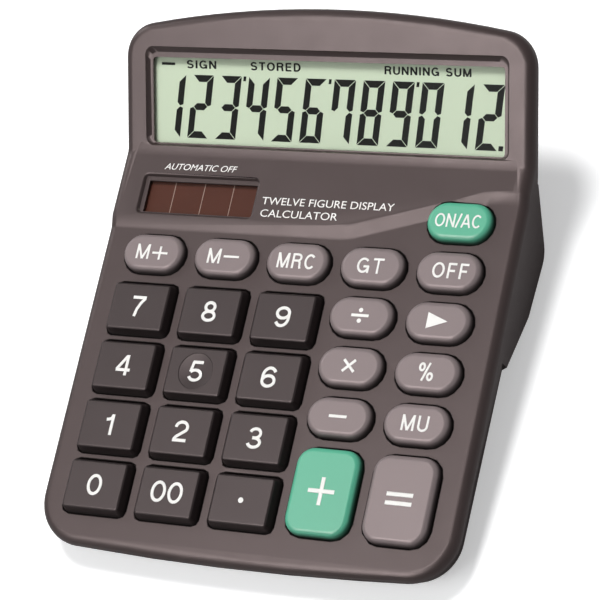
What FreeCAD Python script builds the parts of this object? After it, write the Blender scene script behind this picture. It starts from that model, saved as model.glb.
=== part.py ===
import FreeCAD, Part
import math
import os

# Desktop calculator with a tilted display head.
# Everything is drawn in the deck frame, in millimetres: X to the right, Y up the keyboard,
# Z out of the key deck, with the origin on the deck plane at the middle of the key row "7 8 9".
# The finished pieces are tipped by DECK_TILT and set on the table at the end.

# Case
CASE_WIDTH = 120.0
FRONT_EDGE_Y = -66.7
FRONT_BOW_ANGLE = 3.2
FRONT_BOW_STRAIGHT = 3.3
FRONT_CORNER_R = 13.0
DECK_TILT = 8.0
WALL = 2.0
RIM_R = 2.6
RIM_REACH = 0.9
SEAM_GAP = 0.3
SEAM_FRONT_Z = -3.0
SEAM_DECK_Z = -5.2
SEAM_HEAD_DEPTH = 3.6
SEAM_RISE_Y = (-38.0, -8.0)
SEAM_RISE_R = 60.0
SEAM_BEND_R = 14.0

# Display head, whose face plane leaves the deck plane at HEAD_START_Y
HEAD_START_Y = 43.75
HEAD_TILT = 28.6
HEAD_LENGTH = 41.0
HEAD_TOP_R = 300.0
HEAD_CORNER_R = 9.5
HEAD_BLEND_R = 8.0
HEAD_DEPTH = 10.5
HEAD_BACK_INSET = 3.4
HEAD_BACK_LOW = -11.0

# Display opening in the head face, measured along the face from HEAD_START_Y
RECESS_SIDE = 6.6
RECESS_LOW = 3.4
RECESS_BACK = 10.7
RECESS_CORNER_R = 2.4
RECESS_DEPTH = 1.3
RECESS_SIDE_SLOPE = 0.9
RECESS_LOW_SLOPE = 0.4
RECESS_HIGH_SLOPE = 1.6
OPENING_SIDE = 1.7
OPENING_LOW = 4.1
OPENING_BACK = 3.0
OPENING_CORNER_R = 1.0

# Display stack behind the opening
STACK_GAP = 0.05
WINDOW_THICK = 0.6
WINDOW_SIDE = 1.9
WINDOW_MARGIN = 1.4
GLASS_THICK = 0.8
GLASS_SIDE = 2.1
GLASS_LEDGE = 2.4
HOLDER_THICK = 1.2
HOLDER_BORDER = 3.0
WELL_WALL = 1.2
WELL_GAP = 0.3
RIBBON_THICK = 0.2
RIBBON_LEFT = 17.0
RIBBON_SIDE = 2.8
RIBBON_BEND_R = 6.0
RIBBON_CLEAR = 0.3
RIBBON_END_Y = 36.8

# Solar shelf: a low plateau in front of the head whose front edge makes an S
SHELF_HEIGHT = 1.15
SHELF_EDGE_Y = 26.6
SHELF_RIGHT_EDGE_Y = 38.4
SHELF_SLOPE_RUN = 3.3
SHELF_SIDE = 4.0
SHELF_LOFT_REACH = 2.0
SHELF_SIDE_RUN = 1.4
S_START_X = 12.0
S_END_SIDE = 10.0
S_FIRST_R = 26.0
S_LAST_R = 26.0

# Solar cell
SOLAR_SIDE = 8.0
SOLAR_WIDTH = 35.3
SOLAR_LOW = 27.2
SOLAR_HIGH = 38.7
SOLAR_CORNER_R = 1.4
SOLAR_RECESS_DEPTH = 0.9
SOLAR_SLOPE = 0.5
SOLAR_BORDER = 1.7
SOLAR_LOW_BORDER = 0.7
SOLAR_LEDGE_THICK = 0.7
SOLAR_LEDGE_WIDTH = 1.2
SOLAR_WINDOW_THICK = 0.5
SOLAR_CELL_THICK = 1.1
SOLAR_PAD_LENGTH = 24.0
SOLAR_PAD_WIDTH = 7.0

# Keyboard
COLUMNS = 5
KEY_MARGIN = 6.0
ROW_PITCH = 16.6
OVAL_PITCH = 13.7
OVAL_FIRST_Y = 15.75
TALL_Y = -45.3
FIT_GAP = 0.1
KEY_GAP = 0.35
KEY_FLATS = {"square": 2, "oval": 4, "tall": 3}
POST_FLATS = 2
SEEN_FLATS = 4
FLANGE_LIP = 0.5
FLANGE_GAP = 0.15
FLANGE_THICK = 0.95
POST_HALF = 1.8
POST_GAP = 0.15
SQUARE_SPACE = (2.64, 1.52)
SQUARE_CORNER_R = 1.9
SQUARE_TOP_INSET = 0.85
SQUARE_HEIGHT = 2.7
SQUARE_EDGE = 0.3
OVAL_SPACE = (2.76, 2.34)
OVAL_HEIGHT = 2.3
TALL_SPACE = 2.84
TALL_HEIGHT = 23.9
TALL_CORNER_R = 5.0
SHOULDER_DROP = 1.3
SHOULDER_INSET = 0.9
SHOULDER_EDGE = 0.35
DISH_R = 4.6
DISH_DEPTH = 0.3

# Key mat and board
MAT_THICK = 0.6
MAT_MARGIN = 1.5
DOME_FOOT_R = 4.2
DOME_TOP_R = 2.6
BOARD_TOP_Z = -6.0
BOARD_THICK = 1.2
BOARD_SIDE_ROOM = 5.0
BOARD_FRONT_Y = -58.4
BOARD_BACK_Y = 21.6
BOARD_TAB_LEFT = 14.0
BOARD_TAB_BACK_Y = 40.0
BOARD_CORNER_R = 2.0
BOARD_HOLE_R = 1.3
BOARD_BOSS_R = 1.9
BOARD_BOSS_CLEAR = 0.5
BOARD_BOSS_COLUMNS = [(-1.5, 10.6), (0.5, 10.6), (1.5, -18.5), (-0.5, -24.9)]
BOARD_POST_EDGE = 5.0
BOARD_POST_YS = (-54.0, -8.0)
BOARD_POST_R = 2.2
PILOT_R = 0.8
SCREW_R = 0.95
SCREW_HEAD_R = 1.9
SCREW_HEAD_H = 1.3
SCREW_GAP = 0.25
BOARD_SCREW_LENGTH = 4.6

# Parts on the underside of the board
CHIP_AT = (-4.0, -8.0)
CHIP_R = 6.5
CHIP_HEIGHT = 1.5
CAPACITOR_SIDE = 19.0
CAPACITOR_Y = 12.0
CAPACITOR_R = 2.5
CAPACITOR_LENGTH = 7.0
RESISTOR_XS = (20.0, 24.0, 28.0)
RESISTOR_Y = 30.0
RESISTOR_SIZE = (1.8, 6.0, 1.8)

# Lower case
TRAY_FRONT_Z = -9.95
TRAY_SLOPE = 0.05
TRAY_TOP_INSET = 0.3
TRAY_LOW_INSET = 3.1
TRAY_LOW_Z = -16.4
TRAY_EDGE_R = 2.6
BELLY_SIDE = 0.6
BELLY_START_Y = -5.0
BELLY_FRONT_Y = 10.5
BELLY_BACK_Y = 30.5
BELLY_MIDDLE_Y = 20.0
BELLY_MIDDLE_Z = -21.2
BELLY_FRONT_R = 6.0
BELLY_BACK_R = 9.0
BELLY_BACK_RISE = 43.2
BELLY_EDGE_R = 3.0
LIP_HEIGHT = 1.2
LIP_THICK = 1.0
LIP_GAP = 0.15

# Feet, each a rubber disc in a shallow seat
FOOT_R = 4.0
FOOT_FLATS = 6
FOOT_HEIGHT = 2.2
FOOT_PROUD = 0.9
FOOT_GAP = 0.1
FOOT_SIDE = 14.0
FOOT_FRONT_Y = -52.0
FOOT_BACK_Y = 16.0

# Case screws from below into bosses of the upper case
FRONT_SCREW_COLUMNS = [(-1.5, -41.5), (1.5, -32.2)]
REAR_SCREW_SIDE = 16.0
REAR_SCREW_BACK = 5.3
CASE_BOSS_R = 1.9
CASE_BOSS_PAST_BOARD = 0.8
PILOT_DEPTH = 4.5
TUBE_R = 3.3
TUBE_GAP = 0.3
CASE_SEAT = 2.4
CASE_SCREW_LENGTH = 6.0

# Battery, one small cylindrical cell lying across the belly, and its door
CELL_R = 5.25
CELL_LENGTH = 44.5
CELL_NUB_R = 1.9
CELL_NUB_LENGTH = 1.0
CELL_Y = 29.5
CELL_Z = -11.6
CELL_CLEAR = 0.35
BAY_SIDE = 11.5
BAY_LENGTH = 51.0
BAY_WALL = 1.2
CONTACT_THICK = 0.4
CONTACT_SIZE = 8.0
SPRING_FOLD_R = 0.9
SPRING_WIDTH = 5.0
DOOR_THICK = 1.8
DOOR_GAP = 0.2
DOOR_FRONT_Y = 21.6
DOOR_TONGUE_REACH = 2.4
DOOR_TONGUE_THICK = 1.1
DOOR_TONGUE_WIDTH = 9.0
DOOR_TONGUE_SPREAD = 14.0
DOOR_ROOT = 0.9
DOOR_GRIP_START = 3.0
DOOR_GRIPS = 4
DOOR_GRIP_PITCH = 2.0
DOOR_GRIP_DEPTH = 0.4

# Leads
SOLAR_LEAD_WIDTH = 2.2
SOLAR_LEAD_THICK = 1.0
SOLAR_LEAD_START_Y = 29.0
SOLAR_LEAD_TURN_Y = 21.0
SOLAR_LEAD_END_Y = 18.0
LEAD_BEND_R = 0.8

FAR = 200.0
NEAR = 0.001
X_AXIS = FreeCAD.Vector(1, 0, 0)
HALF = CASE_WIDTH / 2
FRONT_BOW_LEAN = math.radians(FRONT_BOW_ANGLE)
FRONT_CORNER_REACH = FRONT_CORNER_R * math.tan((math.pi / 2 - FRONT_BOW_LEAN) / 2)
FRONT_BOW_REACH = HALF / math.cos(FRONT_BOW_LEAN) - FRONT_CORNER_REACH - FRONT_BOW_STRAIGHT
FRONT_BOW_R = FRONT_BOW_REACH / math.tan(FRONT_BOW_LEAN)
TILT_SLOPE = math.tan(math.radians(DECK_TILT))
HEAD_SLOPE = math.tan(math.radians(HEAD_TILT))
HEAD_COS = math.cos(math.radians(HEAD_TILT))
HEAD_SIN = math.sin(math.radians(HEAD_TILT))
RECESS_HALF_WIDTH = HALF - RECESS_SIDE
RECESS_HIGH = HEAD_LENGTH - RECESS_BACK
OPENING_HALF_WIDTH = RECESS_HALF_WIDTH - OPENING_SIDE
OPENING_HIGH = RECESS_HIGH - OPENING_BACK
WINDOW_HALF_WIDTH = OPENING_HALF_WIDTH + WINDOW_SIDE
GLASS_HALF_WIDTH = OPENING_HALF_WIDTH + GLASS_SIDE
RIBBON_RIGHT = GLASS_HALF_WIDTH - RIBBON_SIDE
SHELF_HALF_WIDTH = HALF - SHELF_SIDE
S_END_X = HALF - S_END_SIDE
SOLAR_LEFT = SOLAR_SIDE - HALF
SOLAR_RIGHT = SOLAR_LEFT + SOLAR_WIDTH
SOLAR_LEAD_X = (SOLAR_LEFT + SOLAR_RIGHT) / 2
COLUMN_PITCH = (CASE_WIDTH - 2 * KEY_MARGIN) / COLUMNS
SQUARE_HALF = (COLUMN_PITCH - SQUARE_SPACE[0]) / 2, (ROW_PITCH - SQUARE_SPACE[1]) / 2
OVAL_HALF = (COLUMN_PITCH - OVAL_SPACE[0]) / 2, (OVAL_PITCH - OVAL_SPACE[1]) / 2
TALL_HALF = (COLUMN_PITCH - TALL_SPACE) / 2, TALL_HEIGHT / 2
BOARD_HALF_WIDTH = HALF - WALL - BOARD_SIDE_ROOM
BOARD_BOSSES = [(column * COLUMN_PITCH, y) for column, y in BOARD_BOSS_COLUMNS]
POST_X = BOARD_HALF_WIDTH - BOARD_POST_EDGE
BOARD_POSTS = [(side * POST_X, y) for side in (-1, 1) for y in BOARD_POST_YS] + [(0.0, BOARD_POST_YS[0])]
BELLY_HALF_WIDTH = HALF - BELLY_SIDE
FOOT_X = HALF - FOOT_SIDE
REAR_SCREW_Y = HEAD_START_Y + (HEAD_LENGTH - REAR_SCREW_BACK) * HEAD_COS
CASE_SCREWS = [(column * COLUMN_PITCH, y) for column, y in FRONT_SCREW_COLUMNS]
CASE_SCREWS += [(side * (HALF - REAR_SCREW_SIDE), REAR_SCREW_Y) for side in (-1, 1)]
BAY_LEFT = BAY_SIDE - HALF
BAY_RIGHT = BAY_LEFT + BAY_LENGTH


def vec(x, y, z=0.0):
    return FreeCAD.Vector(x, y, z)


# Basic shapes


def loop(corners, at=vec, flats=0):
    """A closed wire through corners (a, b, radius), each corner rounded by a tangent arc.

    With flats, each arc is drawn as that many straight chords instead.
    """
    points = [FreeCAD.Vector(c[0], c[1], 0) for c in corners]
    stops = []
    for i, corner in enumerate(corners):
        here = points[i]
        before = (points[i - 1] - here).normalize()
        after = (points[(i + 1) % len(points)] - here).normalize()
        radius = corner[2] if len(corner) > 2 else 0.0
        if radius <= 0:
            stops.append((here, None, here))
            continue
        half_angle = before.getAngle(after) / 2
        reach = radius / math.tan(half_angle)
        bisector = (before + after).normalize()
        middle = here + bisector * (radius / math.sin(half_angle) - radius)
        stops.append((here + before * reach, middle, here + after * reach))
    edges = []
    for i, (start, middle, end) in enumerate(stops):
        if middle is not None:
            arc = Part.Arc(at(start.x, start.y), at(middle.x, middle.y), at(end.x, end.y)).toShape()
            chords = arc.discretize(flats + 1) if flats else []
            edges += [Part.makeLine(a, b) for a, b in zip(chords, chords[1:])] if flats else [arc]
        following = stops[(i + 1) % len(stops)][0]
        if end.distanceToPoint(following) > 1e-6:
            edges.append(Part.makeLine(at(end.x, end.y), at(following.x, following.y)))
    return Part.Wire(edges)


def rectangle(left, low, right, high, radius=0.0):
    return [(left, low, radius), (right, low, radius), (right, high, radius), (left, high, radius)]


def centred(half_width, half_height, radius, x=0.0, y=0.0):
    return rectangle(x - half_width, y - half_height, x + half_width, y + half_height, radius)


def prism(corners, low, high, flats=0):
    """The outline in the XY plane, standing from low to high."""
    face = Part.Face(loop(corners, vec, flats))
    face.translate(vec(0, 0, low))
    return face.extrude(vec(0, 0, high - low))


def tapered(low_corners, low, high_corners, high):
    """A straight-sided solid between two outlines that have the same corners."""
    bottom = loop(low_corners)
    bottom.translate(vec(0, 0, low))
    top = loop(high_corners)
    top.translate(vec(0, 0, high))
    return Part.makeLoft([bottom, top], True, True)


def across(profile, left, right, flats=0):
    """A side profile of corners (y, z, radius), drawn across the case from left to right."""
    face = Part.Face(loop(profile, lambda y, z: vec(left, y, z), flats))
    return face.extrude(vec(right - left, 0, 0))


def post(radius, x, y, low, high, flats=POST_FLATS):
    """A small round post or hole; its side is drawn in flats, because it repeats or is hidden."""
    return prism(centred(radius, radius, radius, x, y), low, high, flats)


def box(left, right, front, back, low, high):
    return prism(rectangle(left, front, right, back), low, high)


def lying_post(radius, left, right, y, z):
    """A round bar across the case, drawn in flats."""
    return across(centred(radius, radius, radius, y, z), left, right, SEEN_FLATS)


def fused(shapes):
    result = shapes[0].multiFuse(shapes[1:]) if len(shapes) > 1 else shapes[0]
    return result.removeSplitter()


def on_head(shape):
    """A shape drawn with Y along the head face and Z out of it, set on the head."""
    moved = shape.copy()
    moved.rotate(vec(0, 0), X_AXIS, HEAD_TILT)
    moved.translate(vec(0, HEAD_START_Y))
    return moved


def head_point(along, out):
    """The deck coordinates (y, z) of a point on the head."""
    y = HEAD_START_Y + along * HEAD_COS - out * HEAD_SIN
    return y, along * HEAD_SIN + out * HEAD_COS


def level_with_table(shape, y, z):
    """A shape drawn level, tipped so that it is level when the case stands on the table."""
    moved = shape.copy()
    moved.rotate(vec(0, 0), X_AXIS, -DECK_TILT)
    moved.translate(vec(0, y, z))
    return moved


# Outer form of the case


def plan_corners(inset):
    """The outline of the case: straight sides, round front corners and a slightly bowed front edge."""
    half = HALF - inset
    radius = FRONT_CORNER_R - inset
    bow_r = FRONT_BOW_R - inset
    peak = FRONT_EDGE_Y + inset - bow_r * (1 / math.cos(FRONT_BOW_LEAN) - 1)
    end = peak + half * math.tan(FRONT_BOW_LEAN)
    front = [(-half, end, radius), (0.0, peak, bow_r), (half, end, radius)]
    return front + [(half, FAR, 0.0), (-half, FAR, 0.0)]


def head_outline(inset, low):
    """The head's outline on its face: straight sides, round top corners and a long top arc."""
    half = HALF - inset
    top = HEAD_LENGTH - inset
    top_r = HEAD_TOP_R - inset
    corner_r = HEAD_CORNER_R - inset
    centre_y = top - top_r
    corner_x = half - corner_r
    corner_y = centre_y + math.sqrt((top_r - corner_r) ** 2 - corner_x**2)
    lean = math.atan2(corner_x, corner_y - centre_y)
    meet = vec(top_r * math.sin(lean), centre_y + top_r * math.cos(lean))
    half_lean = math.radians(45) + lean / 2
    bulge = vec(corner_x + corner_r * math.sin(half_lean), corner_y + corner_r * math.cos(half_lean))
    side_top = vec(half, corner_y)
    mirror = lambda p: vec(-p.x, p.y)
    return Part.Wire(
        [
            Part.makeLine(vec(-half, low), vec(half, low)),
            Part.makeLine(vec(half, low), side_top),
            Part.Arc(side_top, bulge, meet).toShape(),
            Part.Arc(meet, vec(0, top), mirror(meet)).toShape(),
            Part.Arc(mirror(meet), mirror(bulge), mirror(side_top)).toShape(),
            Part.makeLine(mirror(side_top), vec(-half, low)),
        ]
    )


def head_prism(inset, low=-FAR):
    face = Part.Face(head_outline(inset, low))
    face.translate(vec(0, 0, -FAR))
    return on_head(face.extrude(vec(0, 0, 2 * FAR)))


def walls(inset):
    """The space inside the case's upright walls, without end up and down."""
    return prism(plan_corners(inset), -FAR, FAR).common(head_prism(inset))


def top_form(inset):
    """The space under the deck and the head face, inset by a wall."""
    bend_y = HEAD_START_Y + inset * math.tan(math.radians(HEAD_TILT / 2))
    far_y, far_z = head_point(FAR, -inset)
    side = [
        (-FAR, -inset, 0.0),
        (bend_y, -inset, HEAD_BLEND_R + inset),
        (far_y, far_z, 0.0),
        (far_y, -FAR, 0.0),
        (-FAR, -FAR, 0.0),
    ]
    return across(side, -FAR, FAR).common(walls(inset))


def on_rim(edge):
    """Whether an edge of the top form runs round its outside, between the top and the walls."""
    middle = edge.valueAt((edge.FirstParameter + edge.LastParameter) / 2)
    on_top = middle.z > -NEAR
    along = (middle.y - HEAD_START_Y) * HEAD_COS + middle.z * HEAD_SIN
    out = middle.z * HEAD_COS - (middle.y - HEAD_START_Y) * HEAD_SIN
    outside = abs(middle.x) > HALF - NEAR or middle.y < FRONT_EDGE_Y + FRONT_CORNER_R
    high = along > HEAD_LENGTH - HEAD_CORNER_R - RIM_REACH
    return on_top and (outside or high) and (middle.y < HEAD_START_Y or out > -RIM_REACH)


def seam_profile(drop, top):
    """The side profile of all that lies above the seam, lowered by drop."""
    bend_y, bend_z = head_point(0.0, -SEAM_HEAD_DEPTH)
    lift = (SEAM_DECK_Z - bend_z) / HEAD_SLOPE
    far_y, far_z = head_point(FAR, -SEAM_HEAD_DEPTH)
    return [
        (-FAR, SEAM_FRONT_Z - drop, 0.0),
        (SEAM_RISE_Y[0], SEAM_FRONT_Z - drop, SEAM_RISE_R),
        (SEAM_RISE_Y[1], SEAM_DECK_Z - drop, SEAM_RISE_R),
        (bend_y + lift, SEAM_DECK_Z - drop, SEAM_BEND_R),
        (far_y, far_z - drop, 0.0),
        (far_y, top, 0.0),
        (-FAR, top, 0.0),
    ]


def above_seam(drop=0.0):
    return across(seam_profile(drop, 2 * FAR), -FAR, FAR)


def s_edge(shift):
    """The plateau's front edge from left to right: straight, an S up to the right, straight."""
    low = SHELF_EDGE_Y - shift
    high = SHELF_RIGHT_EDGE_Y - shift
    return [(S_START_X, low, S_FIRST_R), (S_END_X, high, S_LAST_R)]


def shelf():
    """The solar shelf, a low plateau that runs back into the head."""
    bend_y = HEAD_START_Y + SHELF_HEIGHT / HEAD_SLOPE
    far_y, far_z = head_point(HEAD_LENGTH / 2, 0.0)
    side = [
        (FRONT_EDGE_Y, -WALL / 2, 0.0),
        (FRONT_EDGE_Y, SHELF_HEIGHT, 0.0),
        (bend_y, SHELF_HEIGHT, HEAD_BLEND_R),
        (far_y, far_z, 0.0),
        (far_y, -WALL / 2, 0.0),
    ]
    body = across(side, -FAR, FAR)

    def outline(height):
        share = (SHELF_HEIGHT - height) / SHELF_HEIGHT
        half = SHELF_HALF_WIDTH + SHELF_SIDE_RUN * share
        edge = s_edge(SHELF_SLOPE_RUN * share)
        front = [(-half, edge[0][1], 0.0), *edge, (half, edge[1][1], 0.0)]
        return front + [(half, FAR, 0.0), (-half, FAR, 0.0)]

    low = -SHELF_HEIGHT
    high = SHELF_HEIGHT * SHELF_LOFT_REACH
    return body.common(tapered(outline(low), low, outline(high), high))


# Keys


def key_table():
    """Every key by name: its kind and its middle on the deck."""
    column = [(i - COLUMNS // 2) * COLUMN_PITCH for i in range(COLUMNS)]
    oval = [OVAL_FIRST_Y - i * OVAL_PITCH for i in range(4)]
    square = [-i * ROW_PITCH for i in range(4)]
    keys = {}
    for row, names in enumerate((("7", "8", "9"), ("4", "5", "6"), ("1", "2", "3"), ("0", "00", "point"))):
        for col, name in enumerate(names):
            keys["key_" + name] = ("square", column[col], square[row])
    for col, name in enumerate(("m_plus", "m_minus", "mrc", "gt", "off")):
        keys["key_" + name] = ("oval", column[col], oval[0])
    for row, names in enumerate((("divide", "backspace"), ("multiply", "percent"), ("minus", "mu"))):
        for side, name in enumerate(names):
            keys["key_" + name] = ("oval", column[3 + side], oval[row + 1])
    keys["key_on_ac"] = ("oval", column[4], OVAL_FIRST_Y + OVAL_PITCH)
    keys["key_plus"] = ("tall", column[3], TALL_Y)
    keys["key_equals"] = ("tall", column[4], TALL_Y)
    return keys


KEYS = key_table()
KEY_OPENINGS = {
    "square": (*SQUARE_HALF, SQUARE_CORNER_R),
    "oval": (*OVAL_HALF, OVAL_HALF[1]),
    "tall": (*TALL_HALF, TALL_CORNER_R),
}


def key_prism(kind, x, y, grow, low, high):
    """A block with the outline of one key's hole, grown all round; its corners are drawn in flats."""
    half_width, half_height, radius = KEY_OPENINGS[kind]
    corners = centred(half_width + grow, half_height + grow, radius + grow, x, y)
    return prism(corners, low, high, KEY_FLATS[kind])


def ring_edges(solid, height):
    """The edges of a solid that lie level at a height."""
    return [e for e in solid.Edges if all(abs(v.Z - height) < 1e-6 for v in e.Vertexes)]


def key(name):
    """One key: cap through the deck, flange that stops under it, post down to its dome."""
    kind, x, y = KEYS[name]
    flange_top = -WALL - FLANGE_GAP
    flange_low = flange_top - FLANGE_THICK
    height = SQUARE_HEIGHT if kind == "square" else OVAL_HEIGHT
    cap = key_prism(kind, x, y, -KEY_GAP, flange_low, height)
    if kind == "square":
        cap = cap.makeChamfer(SQUARE_HEIGHT, SQUARE_TOP_INSET, ring_edges(cap, height))
        cap = cap.makeChamfer(SQUARE_EDGE, ring_edges(cap, height))
    else:
        cap = cap.makeChamfer(SHOULDER_DROP, SHOULDER_INSET, ring_edges(cap, height))
        cap = cap.makeChamfer(SHOULDER_EDGE, ring_edges(cap, height))
    half_width, half_height, radius = KEY_OPENINGS[kind]
    rim = centred(half_width + FLANGE_LIP, half_height + FLANGE_LIP, radius + FLANGE_LIP, x, y)
    flange = prism(rim, flange_low, flange_top, 1)
    dome_top = BOARD_TOP_Z + MAT_THICK + dome_height()
    stem = prism(centred(POST_HALF, POST_HALF, 0.0, x, y), dome_top + POST_GAP, flange_low + FLANGE_THICK / 2)
    solid = fused([cap, flange, stem])
    if name == "key_5":
        dish = post(DISH_R, x, y, SQUARE_HEIGHT - DISH_DEPTH, SQUARE_HEIGHT + DISH_DEPTH, SEEN_FLATS)
        solid = solid.cut(dish)
    return solid


def dome_height():
    """A dome fills the space under the key's post, short of the gap."""
    flange_low = -WALL - FLANGE_GAP - FLANGE_THICK
    return flange_low - POST_GAP - 2 * POST_GAP - (BOARD_TOP_Z + MAT_THICK)


# Upper case


def opening_corners(grow=0.0):
    return rectangle(
        -OPENING_HALF_WIDTH - grow,
        OPENING_LOW - grow,
        OPENING_HALF_WIDTH + grow,
        OPENING_HIGH + grow,
        OPENING_CORNER_R + grow,
    )


def display_cut():
    """The stepped recess in the head face and the opening in its floor."""
    outer = rectangle(-RECESS_HALF_WIDTH, RECESS_LOW, RECESS_HALF_WIDTH, RECESS_HIGH, RECESS_CORNER_R)
    half = RECESS_HALF_WIDTH - RECESS_SIDE_SLOPE
    inner = rectangle(
        -half, RECESS_LOW + RECESS_LOW_SLOPE, half, RECESS_HIGH - RECESS_HIGH_SLOPE, RECESS_CORNER_R
    )
    slope = tapered(inner, -RECESS_DEPTH, outer, 0.0)
    above = prism(outer, 0.0, WALL)
    opening = prism(opening_corners(), -2 * WALL, 0.0)
    return on_head(fused([slope, above, opening]))


def holder_box():
    """The outline (left, low, right, high) of the frame behind the display."""
    low = OPENING_LOW - WINDOW_MARGIN - GLASS_LEDGE
    return -GLASS_HALF_WIDTH, low, GLASS_HALF_WIDTH, OPENING_HIGH + WINDOW_MARGIN


def stack_levels():
    """Where each layer of the display starts and ends, measured out of the head face."""
    levels = {}
    top = -WALL
    layers = ("window", WINDOW_THICK), ("front", GLASS_THICK), ("rear", GLASS_THICK), ("holder", HOLDER_THICK)
    for name, thick in layers:
        top -= STACK_GAP
        levels[name] = (top - thick, top)
        top -= thick
    return levels


def display_well():
    """The rib behind the head face that the display stack drops into, open towards the ribbon."""
    left, low, right, high = holder_box()
    inside = prism(rectangle(left - WELL_GAP, low - FAR, right + WELL_GAP, high + WELL_GAP), -FAR, FAR)
    out = WELL_GAP + WELL_WALL
    deep = stack_levels()["holder"][0]
    block = prism(rectangle(left - out, low + 2 * GLASS_LEDGE, right + out, high + out), deep, -WALL / 2)
    return on_head(block.cut(inside))


def solar_outline(grow):
    return rectangle(
        SOLAR_LEFT - grow, SOLAR_LOW - grow, SOLAR_RIGHT + grow, SOLAR_HIGH + grow, SOLAR_CORNER_R + grow
    )


def solar_opening(grow=0.0):
    """The opening that shows the cell, grown by the ledge where the cell seats from inside."""
    return rectangle(
        SOLAR_LEFT + SOLAR_BORDER - grow,
        SOLAR_LOW + SOLAR_LOW_BORDER - grow,
        SOLAR_RIGHT - SOLAR_LOW_BORDER + grow,
        SOLAR_HIGH - SOLAR_BORDER + grow,
    )


def solar_cut():
    """The recess round the solar cell, its opening, and the seat behind it."""
    floor = SHELF_HEIGHT - SOLAR_RECESS_DEPTH
    slope = tapered(solar_outline(-SOLAR_SLOPE), floor, solar_outline(0.0), SHELF_HEIGHT)
    above = prism(solar_outline(0.0), SHELF_HEIGHT, 2 * SHELF_HEIGHT)
    opening = prism(solar_opening(), -2 * WALL, SHELF_HEIGHT)
    seat = prism(solar_opening(SOLAR_LEDGE_WIDTH), -2 * WALL, solar_seat())
    return fused([slope, above, opening, seat])


def solar_seat():
    return SHELF_HEIGHT - SOLAR_RECESS_DEPTH - SOLAR_LEDGE_THICK


def top_height(y):
    """The height of the middle of the top wall at a place up the keyboard."""
    return max(0.0, (y - HEAD_START_Y) * HEAD_SLOPE) - WALL / 2


def boss_foot(y):
    """Where a case screw's boss ends: under the board, or a little below the seam in the head."""
    if y < HEAD_START_Y:
        return BOARD_TOP_Z - BOARD_THICK - CASE_BOSS_PAST_BOARD
    return (y - HEAD_START_Y) * HEAD_SLOPE - (SEAM_HEAD_DEPTH + CASE_BOSS_R / 2) / HEAD_COS


def upper_case():
    outer = top_form(0.0).common(above_seam())
    outer = outer.makeFillet(RIM_R, [e for e in outer.Edges if on_rim(e)])
    shell = fused([outer, shelf().common(above_seam())]).cut(top_form(WALL))
    added = [post(BOARD_BOSS_R, x, y, BOARD_TOP_Z, -WALL / 2) for x, y in BOARD_BOSSES]
    inside = top_form(WALL / 2)
    for x, y in CASE_SCREWS:
        added.append(post(CASE_BOSS_R, x, y, boss_foot(y), top_height(y)).common(inside))
    tubes = [post(TUBE_R + TUBE_GAP, x, y, -FAR, boss_foot(y)) for x, y in CASE_SCREWS]
    clear = walls(WALL + LIP_THICK + WELL_WALL + WELL_GAP)
    added.append(display_well().common(inside).common(clear).cut(tubes))
    shell = fused([shell] + added)
    tools = [display_cut(), solar_cut()]
    tools += [key_prism(kind, x, y, 0.0, -2 * WALL, 2 * WALL) for kind, x, y in KEYS.values()]
    tools += [post(PILOT_R, x, y, BOARD_TOP_Z - WALL, -WALL) for x, y in BOARD_BOSSES]
    tools += [post(PILOT_R, x, y, boss_foot(y) - WALL, boss_foot(y) + PILOT_DEPTH) for x, y in CASE_SCREWS]
    return shell.cut(tools)


# Lower case


def tray_floor_z(y):
    """The height of the tray's underside, which falls a little towards the back."""
    return TRAY_FRONT_Z - (y - FRONT_EDGE_Y) * TRAY_SLOPE


def belly_floor_z(y):
    """The height of the belly's underside, which is level with the table."""
    return BELLY_MIDDLE_Z - (y - BELLY_MIDDLE_Y) * TILT_SLOPE


def rear_line(inset):
    """Where the belly's rear turns up, and the height it has reached where the head starts."""
    turn_y = BELLY_BACK_Y - inset * math.tan(math.radians(BELLY_BACK_RISE + DECK_TILT) / 2)
    turn_z = belly_floor_z(turn_y) + inset
    end_y = HEAD_START_Y - inset
    return turn_y, turn_z, end_y, turn_z + (end_y - turn_y) * math.tan(math.radians(BELLY_BACK_RISE))


def tray(inset):
    """The flat front part of the lower case, drawn up past the seam."""
    form = tapered(
        plan_corners(TRAY_LOW_INSET + inset), TRAY_LOW_Z, plan_corners(TRAY_TOP_INSET + inset), 0.0
    )
    turn_y, turn_z, end_y, end_z = rear_line(inset)
    rise = math.tan(math.radians(BELLY_BACK_RISE))
    start_z = tray_floor_z(turn_y) + inset
    meet_y = turn_y + (start_z - turn_z) / (rise + TRAY_SLOPE)
    side = [
        (-FAR, tray_floor_z(-FAR) + inset, 0.0),
        (meet_y, tray_floor_z(meet_y) + inset, 0.0),
        (end_y, end_z, 0.0),
        (end_y, FAR, 0.0),
        (-FAR, FAR, 0.0),
    ]
    return form.common(across(side, -FAR, FAR))


def tray_bottom_edges(solid):
    def low(point):
        return abs(point.z - tray_floor_z(point.y)) < 1e-3

    return [e for e in solid.Edges if all(low(p) for p in e.discretize(3))]


def belly(inset):
    """The deep rear part that carries the battery and stands on the table."""
    turn_y, turn_z, end_y, end_z = rear_line(inset)
    start_y = BELLY_START_Y + inset / 2
    front_y = BELLY_FRONT_Y + inset / 2
    side = [
        (start_y, FAR, 0.0),
        (start_y, tray_floor_z(start_y) + inset, 0.0),
        (front_y, belly_floor_z(front_y) + inset, BELLY_FRONT_R),
        (turn_y, turn_z, BELLY_BACK_R - inset),
        (end_y, end_z, 0.0),
        (end_y, FAR, 0.0),
    ]
    half = BELLY_HALF_WIDTH - inset
    return across(side, -half, half)


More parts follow.
